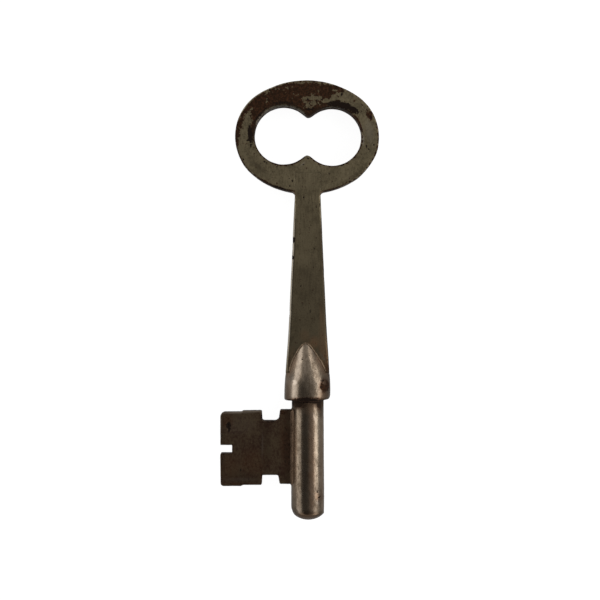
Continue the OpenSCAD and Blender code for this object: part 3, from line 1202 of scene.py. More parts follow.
    def oval(self, outlines: OutlineMaker) -> Loop:
        """The plate's outer edge, before the socket is cut in it.

        Args:
            outlines: Makes the points.

        Returns:
            The oval where it stands on the key, starting at the left end of its lower rim.
        """
        half_w, half_h = self.width / 2, self.height / 2
        end_r = (self.side_r * self.height - half_w**2 - half_h**2) / (2 * self.side_r - self.width)
        end_x, side_y = half_w - end_r, self.side_r - half_h
        lean = math.degrees(math.atan2(side_y, end_x))
        loop = (
            outlines.arc(Vector((0, side_y)), self.side_r, 180 + lean, 360 - lean)
            + outlines.arc(Vector((end_x, 0)), end_r, -lean, lean)[1:-1]
            + outlines.arc(Vector((0, -side_y)), self.side_r, lean, 180 - lean)
            + outlines.arc(Vector((-end_x, 0)), end_r, 180 - lean, 180 + lean)[1:-1]
        )
        return self.placed(loop, Vector((self.shift, self.distance)), self.turn)

    @staticmethod
    def placed(loop: Loop, middle: Vector, turn: float) -> Loop:
        """Turns a loop about its own middle, and moves it to its place.

        Args:
            loop: The loop, about the origin.
            middle: Where its middle goes.
            turn: How far it turns, in degrees.

        Returns:
            The loop in its place.
        """
        angle = math.radians(turn)
        cos, sin = math.cos(angle), math.sin(angle)
        return [middle + Vector((p.x * cos - p.y * sin, p.x * sin + p.y * cos)) for p in loop]

    def socketed(self, outlines: OutlineMaker) -> Loop:
        """The outer edge with the socket for the tongue, and its dents.

        Args:
            outlines: Makes the points.

        Returns:
            The loop.
        """
        half = self.tongue_w / 2 + self.seam
        top = self.tongue_top + self.seam
        oval = self.oval(outlines)
        out = [p for p in oval if abs(p.x) > half + self.spacing / 4 or p.y > self.distance]
        low_right = [p.y < self.distance and p.x > 0 for p in out]
        start = next(i for i, found in enumerate(low_right) if found and out[i - 1].x < 0)
        ring = out[start:] + out[:start]
        corners = [(-half, ring[-1].y), (-half, top), (half, top), (half, ring[0].y)]
        loop = outlines.joined(ring, *[[Vector(c)] for c in corners])
        ways = inward(loop)
        return [p + way * sum(d.push(p) for d in self.dents) for p, way in zip(loop, ways)]

    def eye(self, outlines: OutlineMaker) -> Loop:
        """The eye's edge: two round lobes, and between them a cusp above and one below.

        Args:
            outlines: Makes the points.

        Returns:
            The loop, with the metal on its left.
        """
        half, angle = self.lobe_pitch / 2, math.radians(self.cusp_angle)
        flank_x = half - self.lobe_r * math.sin(angle)
        flank_y = self.lobe_r * math.cos(angle)
        cusp_y = flank_y - flank_x * math.tan(angle) + self.cusp_r / math.cos(angle)
        lean, wide = 90 + self.cusp_angle, 2 * self.cusp_angle
        loop = outlines.joined(
            outlines.arc(Vector((-half, 0)), self.lobe_r, lean - wide, 360 - lean + wide),
            outlines.arc(Vector((0, -cusp_y)), self.cusp_r, lean, 180 - lean),
            outlines.arc(Vector((half, 0)), self.lobe_r, -lean, lean),
            outlines.arc(Vector((0, cusp_y)), self.cusp_r, 180 + lean, 360 - lean),
        )
        middle = Vector((self.eye_shift, self.distance + self.eye_rise))
        return self.placed(loop, middle, self.eye_turn)[::-1]

    def rounding(self, point: Vector) -> float:
        """The radius of the edge at a point of an outline: next to none in the seam.

        Args:
            point: The point.

        Returns:
            The radius, in millimetres.
        """
        inner = abs(point.x) < self.tongue_w / 2 + 3 * self.seam
        low = point.y < self.tongue_top + self.spacing
        return self.seam_round if inner and low else self.edge_round

    def build(self, joinery: Joinery, finish: Finish) -> None:
        """Meshes the bow, wears it and puts it on the key.

        Args:
            joinery: The shared trees.
            finish: Its steel.
        """
        outlines = OutlineMaker(self.spacing)
        eye = self.eye(outlines)
        loops = [self.socketed(outlines), eye]
        piece = PlateBlank("bow_plate", loops, self.thickness, self.rounding).build()
        weather(piece, self.front, self.back, self.skin, [self.oval(outlines), eye])
        joinery.pit(piece, finish, self.pit_density, self.seed)
        hand_over(piece, "flat_steel", "bow")


@dataclass
class Shank:
    """The flat stem: straight edges that flare out down to the collar, and a tongue in the bow."""

    top_w: float = 5.15
    middle_w: float = 7.06
    foot_r: float = 4.38
    foot: float = 5.6
    foot_shift: float = -0.05
    flare: float = 20.0
    rim: float = 41.825
    tongue_top: float = 45.825
    thickness: float = 4.05
    edge_round: float = 0.4
    foot_round: float = 0.5
    seam_round: float = 0.02
    seam_reach: float = 0.3
    spacing: float = 0.2
    skin: Skin = Skin(broad=0.012)
    pit_density: float = 0.1
    seed: int = 5
    nicks: tuple[Dent, ...] = (
        Dent(-2.8, 35, 3.6, -0.05), Dent(-3, 31.9, 0.4, 0.03), Dent(-3.05, 30.6, 0.4, 0.04),
        Dent(3.3, 25, 0.8, 0.04), Dent(-3.6, 17.5, 0.5, 0.05), Dent(-3.6, 21, 8, -0.07),
        Dent(-4, 8.5, 4, -0.06), Dent(4, 8.5, 4, -0.08),
    )
    front: Patina = Patina(
        rust=spots(
            (2, 11, 1.1, 0.2, 0.5, -44), (3.8, 6.9, 0.45, 2, 0.85, 8), (0.9, 11.9, 1, 0.6, 0.2, -30),
        ),
        scale=spots(
            (-2.85, 32.35, 0.3, 0.62), (-3, 28.8, 0.3, 0.4), (2.45, 40, 0.06, 1.6, 0.7),
            (1.75, 39.2, 0.08, 0.5, 0.9),
        ),
        pits=pits(
            (-0.84, 40.9, 0.18, 0.22, 0.06), (0.5, 17.9, 0.12, 0.3, 0.03), (-1.4, 23, 0.1, 0.2, 0.03),
            (1.3, 30.6, 0.12, 0.16, 0.03),
        ),
        stains_and_shade=spots(
            (0, 9, 6, 9, 0.5), (0, 18, 6, 12, 0.42), (0, 28, 6, 13, 0.24), (0, 37, 6, 8, 0.1),
            (0.9, 26, 0.5, 3.6, 0.34, 2), (-1.6, 20, 0.4, 4, 0.36, -2), (2.6, 30, 0.35, 8, 0.4, 2.2),
            (2.9, 19, 0.4, 5, 0.5, 2.2), (3.9, 8.4, 0.4, 2.8, 0.9, 6), (-3.75, 7.8, 0.35, 1.8, 0.8, -8),
            (-3.4, 9, 0.6, 3, 0.4, -10),
        ),
        stained_rims=(
            Sweep(0, 22, 100, 253, 3, width=0.5, amount=1),
            Sweep(0, 22, 278, 440, 3, width=0.42, amount=0.85),
        ),
        browned=spots(
            (3.2, 10, 0.9, 4.2, 0.42, 5), (1.3, 11.6, 1.1, 1.3, 0.42, -35), (-0.6, 13, 1, 1.2, 0.2),
            (2.9, 15.5, 0.5, 3.6, 0.3, 2.2), (-3.4, 8.2, 0.5, 2.4, 0.2, -12),
        ),
        # The thin line beside the nose and the rim along the left edge are painted highlights on worn
        # steel.
        rubbed_and_highlights=(Spot(3.1, 8.6, 0.12, 0.95, turn=33),),
        rubbed_and_highlight_rims=(Sweep(0, 22, 100, 253, 3, width=0.3, amount=1),),
    )
    back: Patina = Patina(
        rust=spots((2.6, 12, 0.5, 2.4, 0.7, 6), (-2, 30, 0.4, 1.6, 0.6)),
        scale=(Spot(1.2, 24, 0.3, 0.8, 0.8, 10),),
        pits=pits((0.9, 36.5, 0.22, 0.26, 0.07), (-1.2, 16.4, 0.2, 0.3, 0.06)),
        stains_and_shade=spots((0, 12, 5, 9, 0.3), (0, 25, 5, 9, 0.2)),
        rubbed_and_highlights=spots((2.95, 34, 0.12, 5, 0.5, 2.2), (-3.35, 22, 0.1, 5, 0.5, -2.2)),
    )

    def half_width(self, height: float) -> float:
        """Half the shank's width at a height above the shoulder.

        Args:
            height: The height, in millimetres.

        Returns:
            Half the width, in millimetres.
        """
        slope = (self.middle_w - self.top_w) / 2 / (self.rim - self.flare)
        down = self.flare - height
        length = self.flare - self.foot
        bend = (self.foot_r - self.middle_w / 2 - slope * length) / length**2
        straight = self.middle_w / 2 + slope * down
        return straight + bend * down**2 if down > 0 else straight

    def edge(self, side: Side, steps: int = 180) -> Loop:
        """One long edge from the foot to the rim, with its nicks.

        Args:
            side: Which edge.
            steps: How many steps it has.

        Returns:
            The points.
        """
        heights = [self.foot + (self.rim - self.foot) * i / steps for i in range(steps + 1)]
        down = [max(0.0, (self.flare - y) / (self.flare - self.foot)) for y in heights]
        shifts = [self.foot_shift * d * d for d in down]
        points = [Vector((side.value * self.half_width(y) + s, y)) for y, s in zip(heights, shifts)]
        return [p - Vector((side.value * sum(n.push(p) for n in self.nicks), 0)) for p in points]

    def outline(self, outlines: OutlineMaker) -> Loop:
        """The whole outline with the tongue, anticlockwise.

        Args:
            outlines: Makes the points.

        Returns:
            The loop.
        """
        half = self.top_w / 2
        tongue = [Vector((half, self.tongue_top)), Vector((-half, self.tongue_top))]
        left = self.edge(Side.LEFT)[::-1]
        return outlines.joined(self.edge(Side.RIGHT), tongue[:1], tongue[1:], left)

    def rounding(self, point: Vector) -> float:
        """The radius of the edge: next to none in the bow's socket, and growing towards the foot.

        Args:
            point: A point of the outline.

        Returns:
            The radius, in millimetres.
        """
        if point.y > self.rim - self.seam_reach or point.y < self.foot + self.seam_round:
            return self.seam_round
        share = max(0.0, (self.flare - point.y) / (self.flare - self.foot))
        return self.edge_round + (self.foot_round - self.edge_round) * share

    def build(self, joinery: Joinery, finish: Finish) -> None:
        """Meshes the shank, wears it and puts it on the key.

        Args:
            joinery: The shared trees.
            finish: Its steel.
        """
        loop = self.outline(OutlineMaker(self.spacing))
        piece = PlateBlank("shank_blade", [loop], self.thickness, self.rounding).build()
        weather(piece, self.front, self.back, self.skin, [loop])
        joinery.pit(piece, finish, self.pit_density, self.seed)
        hand_over(piece, "flat_steel", "shank")


@dataclass
class Bit:
    """The flag that works the lock: two ward cuts, a lever notch, and a tenon in the post."""

    thickness: float = 2.6
    tenon_x: float = -1.675
    root_top: float = -1.98
    root_foot: float = -17.0
    ward_x: float = -5.9
    ward_lean: float = 0.3
    ward_edge: float = -9.3
    ward_top: float = -4.2
    ward_foot: float = -15.2
    flag_top: float = -2.2
    flag_foot: float = -17.2
    step_x: float = -13.3
    step_run: float = 0.5
    step: float = 0.22
    reach: float = -17.7
    notch_x: float = -15.3
    notch_top: float = -9.1
    notch_foot: float = -10.8
    edge_round: float = 0.22
    inner_round: float = 0.08
    notch_near: float = 0.1
    notch_reach: float = 0.3
    tenon_edge: float = -2.2
    spacing: float = 0.16
    skin: Skin = Skin(broad=0.025, fine=0.01)
    pit_density: float = 0.35
    seed: int = 7
    front: Patina = Patina(
        rust=spots(
            (-4.2, -9.5, 1.3, 6, 0.52, 3), (-13.5, -16.9, 3.4, 0.22, 0.7), (-11, -12.6, 3, 2.6, 0.4),
            (-16.4, -4.3, 1.2, 1.4, 0.45), (-5.2, -2.6, 1, 0.4, 0.8), (-9.4, -15, 0.3, 1.4, 0.7),
            (-15.6, -13.6, 2, 2.4, 0.36),
        ),
        scale=spots(
            (-16, -5.1, 0.46, 0.62, 1.2, -8), (-15.85, -5.9, 0.26, 0.5, 1.2, -8),
            (-17.4, -7.6, 0.14, 1.4, 0.8), (-9.3, -3.4, 0.14, 0.9, 0.8), (-5.75, -3.2, 0.16, 0.9, 0.8, 6),
            (-7.6, -4.4, 1.7, 0.12, 0.7), (-16.6, -11, 0.9, 0.12, 0.7),
            (-17.3, -12.3, 0.12, 0.9, 0.8, -12), (-9.45, -9.6, 0.12, 3, 0.5, -2),
            (-13.6, -14.2, 0.3, 0.25, 0.7, 20),
        ),
        pits=pits((-16.05, -5.05, 0.26, 0.34, 0.2), (-15.95, -5.85, 0.18, 0.3, 0.12)),
        stains_and_shade=spots(
            (-8.6, -9.6, 1.1, 6.5, 0.3), (-12.5, -15.8, 4.6, 1.4, 0.3), (-4, -9.6, 1, 9, 0.45),
            (-17.2, -9.6, 0.5, 8, 0.25),
        ),
        rubbed_and_highlights=spots(
            (-13.2, -2.45, 4, 0.2, 0.75, 2.5), (-17.55, -4.6, 0.12, 1.5, 0.5),
            (-13.6, -5.2, 3.2, 1.6, 0.08, 10), (-9.15, -9.4, 0.14, 2.6, 0.3, -1),
            (-13.6, -16, 3, 0.3, 0.16),
        ),
    )
    back: Patina = Patina(
        rust=spots((-7.5, -12, 3, 2, 0.6, 20), (-14.5, -5, 1.6, 1.2, 0.6), (-4, -8, 1.2, 4.5, 0.6)),
        scale=(Spot(-12, -15.5, 1.4, 0.6, 0.8, 20),),
        pits=pits((-13.2, -8.4, 0.3, 0.24, 0.1), (-10.6, -13, 0.2, 0.26, 0.08)),
        stains_and_shade=spots((-3.5, -9.6, 0.5, 6.5, 0.5), (-13, -6, 3, 3, 0.2)),
        rubbed_and_highlights=(Spot(-13.2, -2.45, 4, 0.2, 0.5, 2.5),),
    )

    def outline(self, outlines: OutlineMaker) -> Loop:
        """The outline from the tenon round the root and the flag, anticlockwise.

        Args:
            outlines: Makes the points.

        Returns:
            The loop.
        """
        low_top, low_foot = self.flag_top - self.step, self.flag_foot - self.step
        step_in, step_out = self.step_x + self.step_run / 2, self.step_x - self.step_run / 2
        return outlines.rounded(
            [
                Corner(self.tenon_x, self.root_top),
                Corner(self.ward_x + self.ward_lean, self.root_top, 0.32),
                Corner(self.ward_x, self.ward_top, 0.9),
                Corner(self.ward_edge + 0.1, self.ward_top, 0.4),
                Corner(self.ward_edge, self.flag_top + 0.04, 0.3),
                Corner(step_in, self.flag_top, 0.3),
                Corner(step_out, low_top, 0.3),
                Corner(self.reach, low_top - 0.05, 0.95),
                Corner(self.reach + 0.02, self.notch_top, 0.16),
                Corner(self.notch_x, self.notch_top, 0.12),
                Corner(self.notch_x, self.notch_foot, 0.12),
                Corner(self.reach, self.notch_foot, 0.32),
                Corner(self.reach + 0.08, low_foot, 0.6),
                Corner(step_out, low_foot, 0.3),
                Corner(step_in, self.flag_foot, 0.3),
                Corner(self.ward_edge, self.flag_foot, 0.32),
                Corner(self.ward_edge + 0.1, self.ward_foot, 0.25),
                Corner(self.ward_x - 0.1, self.ward_foot, 0.35),
                Corner(self.ward_x + 0.2, self.root_foot, 0.32),
                Corner(self.tenon_x, self.root_foot),
            ]
        )

    def rounding(self, point: Vector) -> float:
        """The radius of the edge, smaller in the notch and on the tenon.

        Args:
            point: A point of the outline.

        Returns:
            The radius, in millimetres.
        """
        level = self.notch_foot - self.notch_near < point.y < self.notch_top + self.notch_near
        in_notch = level and point.x < self.notch_x + self.notch_reach
        return self.inner_round if in_notch or point.x > self.tenon_edge else self.edge_round

    def build(self, joinery: Joinery, finish: Finish) -> None:
        """Meshes the bit, wears it and puts it on the key.

        Args:
            joinery: The shared trees.
            finish: Its steel.
        """
        loop = self.outline(OutlineMaker(self.spacing))
        piece = PlateBlank("bit_flag", [loop], self.thickness, self.rounding).build()
        weather(piece, self.front, self.back, self.skin, [loop])
        joinery.pit(piece, finish, self.pit_density, self.seed)
        hand_over(piece, "bit_steel", "bit")


@dataclass
class Post:
    """The round post that turns in the lock, with a domed tip."""

    radius: float = 3.35
    neck_r: float = 3.24
    length: float = 24.35
    taper: float = 18.6
    tip_r: float = 4.6
    end: float = 5.6
    row: float = 0.22
    segments: int = 112
    dome_rows: int = 16
    end_ring: float = 0.6
    worn_tip: float = 0.26
    worn_reach: float = 3.0
    worn_fade: float = 0.7
    worn_evenly: float = 0.15
    rim: float = -22.98
    tip_lean: float = 0.03
    lean_reach: float = 1.0
    pole_r: float = 0.1
    skin: Skin = Skin(broad=0.016, broad_size=6.0, fine=0.011, fine_size=0.8)
    pit_density: float = 0.1
    seed: int = 11
    front: Patina = Patina(
        rust=spots(
            (0, -0.2, 3.6, 0.5, 0.9), (-1.9, -0.6, 1.5, 0.9, 0.85), (2.5, -0.8, 0.8, 1.1, 0.8),
            (0.65, -11.5, 0.75, 13, 0.34), (2.6, -19.5, 0.9, 0.8, 0.35, 30),
        ),
        scale=spots((0, -0.15, 3.6, 0.3), (2.3, -19.5, 0.6, 0.16, 0.7, 40), (1.9, -18.4, 0.16, 0.3, 0.6)),
        pits=pits((1.85, -13.2, 0.12, 0.12, 0.05), (-1.5, -7.4, 0.1, 0.12, 0.03)),
        stains_and_shade=spots(
            # The spots just under the shoulder, from about -0.4 down to -2.3, are stain and painted shade
            # of the shoulder.
            (-0.7, -11.5, 0.8, 13, 0.45), (0.7, -11.5, 0.7, 13, 0.2), (-1.75, -12.5, 0.35, 10, 0.12),
            (0, -24, 3.8, 1.9), (1.7, -19.9, 0.8, 3, 0.5), (1.9, -18.4, 0.5, 0.5, 0.4, 30),
            (1.5, -21.3, 0.6, 0.5, 0.4, -30), (0, -0.4, 5, 1.1), (-1.7, -0.8, 1.7, 1.1, 0.95),
            (0.3, -1.2, 0.9, 1.3, 0.5), (2.5, -1, 0.8, 1.6, 0.95), (2.8, -2.2, 0.5, 1.4, 0.7),
            (-3, -2.3, 0.5, 1.5, 0.7), (-1.9, -17.6, 0.5, 2.8, 0.2), (-1.7, -20.8, 0.7, 2.2, 0.34),
            (1.2, -18.5, 0.3, 3, 0.3),
        ),
        browned=spots(
            (-2.62, -10.5, 0.42, 7.6, 0.6), (0.8, -11.5, 0.6, 12, 0.24), (3, -11.5, 0.4, 12, 0.3),
            (0.3, -1.5, 1.1, 1.3, 0.34), (2.4, -2.2, 0.3, 0.6, 0.3, 20), (2, -19.2, 0.7, 0.9, 0.3, 30),
            (0, -23.4, 2.6, 0.8, 0.36),
        ),
        rubbed_and_highlights=spots(
            # The first spot brightens the right highlight: polish and painted highlight.
            (1.7, -8.6, 0.4, 6.5, 0.05), (2.05, -19.9, 0.07, 0.5, 0.9, -30),
            (2.3, -18.6, 0.07, 0.4, 0.8, 40), (1.4, -18.9, 0.06, 0.5, 0.7, 60),
            (1.5, -3.6, 0.3, 1.4, 0.3, 20), (2, -20.6, 0.3, 0.5, 0.4, 20), (-1.8, -22.6, 0.5, 1.2, 0.3),
        ),
    )
    back: Patina = Patina(
        rust=spots((0, -0.5, 3.6, 0.7, 0.95), (-1, -10, 1.2, 4, 0.5), (1.2, -18, 0.8, 2.4, 0.5)),
        scale=spots((0, -0.15, 3.6, 0.3), (0.6, -6, 0.3, 1.2, 0.7)),
        pits=pits((-0.6, -15, 0.24, 0.3, 0.08), (1.1, -8.2, 0.2, 0.2, 0.06)),
        stains_and_shade=spots((0, -11.5, 1.2, 13, 0.4), (0, -23.6, 3.4, 0.9, 0.5)),
    )

    def section(self) -> Section:
        """The half section from the tip's pole to the middle of the upper end.

        Returns:
            Its points, as radius and height.
        """
        centre = self.tip_r - self.length
        lean = math.asin(self.radius / self.tip_r)
        angles = [lean * i / self.dome_rows for i in range(self.dome_rows + 1)]
        dome = [(self.tip_r * math.sin(a), centre - self.tip_r * math.cos(a)) for a in angles]
        rows = math.ceil((self.end - dome[-1][1]) / self.row)
        side = []
        for i in range(1, rows + 1):
            y = dome[-1][1] + (self.end - dome[-1][1]) * i / rows
            share = min(1.0, max(0.0, (y + self.taper) / self.taper))
            side.append((self.radius + (self.neck_r - self.radius) * share, y))
        return dome + side + [(self.neck_r * self.end_ring, self.end), (0.0, self.end)]

    def wear_tip(self, piece: Piece) -> None:
        """Wears the rim of the tip on its left, where it has rubbed, and leans its dome to the right.

        Args:
            piece: The turned post.
        """
        for v in piece.data.vertices:
            x, y, z = v.co / MM
            r = math.hypot(x, z)
            if y < self.rim + self.worn_reach and r > self.pole_r:
                near = math.exp(-(((y - self.rim) / self.worn_fade) ** 2)) * (r / self.radius) ** 6
                left = self.worn_evenly + (1 - self.worn_evenly) * max(0.0, -x / r)
                worn = self.worn_tip * near * left
                lean = self.tip_lean * x * smooth_share(y, self.rim + self.lean_reach, self.rim)
                v.co.x *= 1 - worn / r
                v.co.z *= 1 - worn / r
                v.co.y += (worn * 0.5 - lean) * MM

    def build(self, joinery: Joinery, finish: Finish) -> None:
        """Turns the post, wears it and puts it on the key.

        Args:
            joinery: The shared trees.
            finish: Its steel.
        """
        piece = joinery.turned("post_round", self.section(), finish, self.segments)
        self.wear_tip(piece)
        weather(piece, self.front, self.back, self.skin, [])
        joinery.pit(piece, finish, self.pit_density, self.seed)
        hand_over(piece, "turned_steel", "post")


@dataclass
class Collar:
    """The turned collar: a shoulder for the lock plate, a barrel, and a nose that runs up the shank."""

    radius: float = 4.67
    bore_r: float = 3.245
    shoulder_round: float = 0.36
    parallel: float = 1.5
    drop: float = 0.33
    nose_start: float = 6.5
    nose_l: float = 5.0
    blend: float = 1.7
    nose_lean: float = -0.4
    lean_below: float = 2.0
    lean_above: float = 4.0
    keel: float = 0.3
    keel_start: float = 3.4
    keel_full: float = 5.4
    flank: Band = (0.15, 0.5)
    lean_x: float = -0.08
    lean_y: float = 0.05
    worn_corner: float = 0.16
    worn_fade: float = 0.5
    corner_rise: float = 0.1
    corner_lift: float = 0.8
    bore_clear: float = 0.3
    web: float = 0.1
    overshoot: float = 1.0
    face: float = 2.025
    slot_floor: float = 5.6
    seam: float = 0.02
    row: float = 0.2
    flat_row: float = 0.25
    segments: int = 144
    skin: Skin = Skin(broad=0.02, broad_size=4.0, fine=0.012, fine_size=0.8)
    pit_density: float = 0.12
    seed: int = 13
    front: Patina = Patina(
        rust=spots(
            (3.36, 2.9, 1.04, 1.5, 0.9, -4), (0.2, 0.1, 3.7, 0.62), (-3.05, 3.65, 0.14, 0.16, 0.45),
            (3.6, 6.9, 0.9, 2.6, 0.3, 24),
        ),
        bare=spots(
            (3.3, 3.5, 0.5, 0.6, 0.45), (2.6, 2, 0.3, 0.4, 0.7), (2.5, 4.1, 0.3, 0.4, 0.6),
            (3.9, 1.7, 0.4, 0.3, 0.5),
        ),
        scale=spots(
            (3, 4, 0.4, 0.3, 0.75, -20), (2.6, 2.9, 0.16, 0.7, 0.6), (4, 2.6, 0.3, 1, 0.55),
            (0, 0, 4.2, 0.26, 0.8), (-0.2, 0.25, 2.6, 0.55, 0.85),
        ),
        pits=pits(
            (0.1, 1.4, 0.14, 0.14, 0.03), (-1.1, 8.3, 0.12, 0.14, 0.02), (1.6, 6.4, 0.14, 0.12, 0.02),
        ),
        stains_and_shade=spots(
            # The first two darken the barrel's middle between its highlights: stain and a painted dark
            # reflection.
            (-1.4, 1.6, 0.7, 2.6, 0.25), (0.7, 1.6, 0.6, 2.6, 0.2), (1.3, 7.6, 0.6, 3, 0.3, 12),
            (0.7, 10.3, 0.6, 1.2, 0.4, 20), (2.1, 3.7, 0.5, 0.8, 0.14), (0.1, 6.9, 0.7, 2.2, 0.1),
            (3.9, 0.6, 1.3, 1.3, 0.5), (3.4, 6.4, 1, 2.6, 0.3, 10), (4.15, 5.6, 0.3, 1.3, 0.8, 8),
            (0, 0.2, 4.6, 0.4, 0.4), (-4.1, 1.5, 0.5, 1.5, 0.4), (2.6, 8.4, 0.6, 2, 0.3, 30),
        ),
        browned=spots(
            (-3.4, 7, 0.8, 2.4, 0.6, -20), (2.9, 7.2, 0.9, 2.4, 0.45, 24), (-3.9, 2.4, 0.7, 2.4, 0.3),
            (3.2, 1, 1, 0.7, 0.3), (0, 0.3, 3, 0.4, 0.25),
        ),
        rubbed_and_highlights=spots(
            # The spots on the left of the barrel and the nose lie on and beside its highlights, and the
            # two thin ones beside the seam are highlight lines: polish and painted highlight.
            (-3, 2.4, 0.9, 2.6, 0.5), (-2.7, 3.7, 0.6, 0.6), (-3.7, 3.8, 0.7, 1, 0.3),
            (-2, 5.8, 0.5, 2.6, 0.4, -12), (-1.6, 8.6, 0.4, 2.4, 0.4, -12),
            (2.55, 7.6, 0.12, 1.1, 1, 32.6), (-3.4, 8.2, 0.1, 1.3, 0.3, -26),
        ),
    )
    back: Patina = Patina(
        rust=spots((-2.2, 2.4, 1.4, 1.6, 0.6, 10), (1.6, 5.4, 0.8, 1.2, 0.5)),
        scale=spots((-2.4, 2.2, 0.6, 0.8, 0.7), (0, 0, 4.4, 0.14, 0.7)),
        pits=pits((0.8, 3, 0.26, 0.3, 0.08), (-0.6, 6.8, 0.2, 0.24, 0.05)),
        stains_and_shade=spots((0.4, 2.4, 1.6, 2.4, 0.5), (0, 0.2, 4.6, 0.4, 0.4)),
        rubbed_and_highlights=(Spot(2.9, 3, 0.6, 2.2, 0.4),),
    )

    def lean_at(self, height: float) -> float:
        """How far the nose, which was filed by hand, stands to the right at a height."""
        start, end = self.nose_start - self.lean_below, self.nose_start + self.lean_above
        return self.nose_lean * float(smooth_share(height, start, end))

    def radius_at(self, height: float) -> float:
        """The radius at a height over the shoulder: a barrel that runs softly into the nose's cone.

        Args:
            height: The height, in millimetres.

        Returns:
            The radius, in millimetres.
        """
        neck = self.radius - self.drop
        slope = (neck - self.face) / self.nose_l
        if height >= self.nose_start + self.blend:
            return neck - slope * (height - self.nose_start)
        length = self.nose_start - self.parallel
        arc = (length**2 + self.drop**2) / (2 * self.drop)
        if height > self.nose_start - self.blend:
            start = self.radius_at(self.nose_start - self.blend)
            t = (height - self.nose_start + self.blend) / (2 * self.blend)
            return start * (1 - t) ** 2 + neck * 2 * t * (1 - t) + (neck - slope * self.blend) * t * t
        rise = max(0.0, height - self.parallel)
        return self.radius - arc + math.sqrt(arc**2 - rise**2)

    def power_at(self, height: float) -> float:
        """The power of the curve across the collar: 2 is round, and less is filed towards a keel."""
        return 2.0 - self.keel * float(smooth_share(height, self.keel_start, self.keel_full))

    def half_at(self, height: float, level: float) -> float:
        """Half the collar's width at a height over the shoulder and a level over its middle."""
        r, power = self.radius_at(height), self.power_at(height)
        return r * max(0.0, 1.0 - (level / r) ** power) ** (1.0 / power)

    def section(self) -> Section:
        """The half section from the middle of the shoulder round to the nose's point.

        Returns:
            Its points, as radius and height.
        """
        r = self.shoulder_round
        rows = [(0.0, 0.0)] + [(self.bore_r + i * self.flat_row, 0.0) for i in range(4)]
        angles = [math.radians(a) for a in range(0, 91, 15)]
        rows += [(self.radius - r + r * math.sin(a), r - r * math.cos(a)) for a in angles]
        neck = self.radius - self.drop
        point = self.nose_start + neck * self.nose_l / (neck - self.face)
        steps = math.ceil((point - r) / self.row)
        heights = [r + (point - r) * i / steps for i in range(1, steps)]
        return rows + [(self.radius_at(y), y) for y in heights] + [(0.0, point)]

    def file_nose(self, piece: Piece) -> None:
        """Files the turned nose flatter on its flanks, which leaves a soft keel along its middle.

        Args:
            piece: The turned collar.
        """
        for v in piece.data.vertices:
            x, y, z = v.co / MM
            r, power = math.hypot(x, z), self.power_at(y)
            if power < 2.0 and r > 0.01:
                filed = ((abs(x) / r) ** power + (abs(z) / r) ** power) ** (-1.0 / power) - 1.0
                share = 1.0 + filed * float(smooth_share(abs(z) / r, *self.flank))
                v.co.x *= share
                v.co.z *= share

    def settle(self, piece: Piece) -> None:
        """Leans the shoulder and the nose a little, and wears the shoulder's right corner.

        Args:
            piece: The collar, with its slot and bore cut.
        """
        for v in piece.data.vertices:
            x, y, z = v.co / MM
            v.co.x += self.lean_at(y) * MM
            if y < self.nose_start and math.hypot(x, z) > self.bore_r + self.bore_clear:
                low = 1 - max(y, 0.0) / self.nose_start
                near = math.exp(-(((y - self.corner_rise) / self.worn_fade) ** 2))
                worn = self.worn_corner * near * max(0.0, x / self.radius) ** 3
                v.co.x += (self.lean_x * low - worn) * MM
                v.co.y += (self.lean_y * x / self.radius * low + self.corner_lift * worn) * MM

    def cut(self, piece: Piece, cutter: Piece) -> None:
        """Cuts one closed mesh out of the collar, and removes the cutter.

        Args:
            piece: The collar.
            cutter: What is cut out of it.
        """
        modifier = piece.modifiers.new("cut", "BOOLEAN")
        modifier.object = cutter
        modifier.solver = "EXACT"
        graph = bpy.context.evaluated_depsgraph_get()
        made = bpy.data.meshes.new_from_object(piece.evaluated_get(graph))
        piece.modifiers.clear()
        piece.data = made
        drop(cutter)

    def slot_cutter(self) -> Piece:
        """The block that leaves the slot for the shank between the collar's two cheeks.

        Returns:
            The block.
        """
        half, reach = self.face + self.seam, self.radius + self.overshoot
        levels = (self.slot_floor, self.nose_start * 3)
        corners = [(x, y, z) for x in (-reach, reach) for y in levels for z in (-half, half)]
        faces = [(0, 1, 3, 2), (4, 6, 7, 5), (0, 4, 5, 1), (2, 3, 7, 6), (0, 2, 6, 4), (1, 5, 7, 3)]
        return solid_piece("slot_cutter", corners, faces)

    def build(self, joinery: Joinery, finish: Finish) -> None:
        """Turns the collar, cuts its slot and bore, wears it and puts it on the key.

        Args:
            joinery: The shared trees.
            finish: Its steel.
        """
        piece = joinery.turned("collar_round", self.section(), finish, self.segments)
        self.file_nose(piece)
        self.cut(piece, self.slot_cutter())
        low, top = -self.overshoot, self.slot_floor - self.web
        bore = [(0.0, low), (self.bore_r, low), (self.bore_r, top), (0.0, top)]
        self.cut(piece, joinery.turned("bore_cutter", bore, finish, self.segments))
        face_outwards(piece)
        self.settle(piece)
        weather(piece, self.front, self.back, self.skin, [])
        joinery.pit(piece, finish, self.pit_density, self.seed)
        piece.data.set_sharp_from_angle(angle=SHARP)
        hand_over(piece, "turned_steel", "collar")


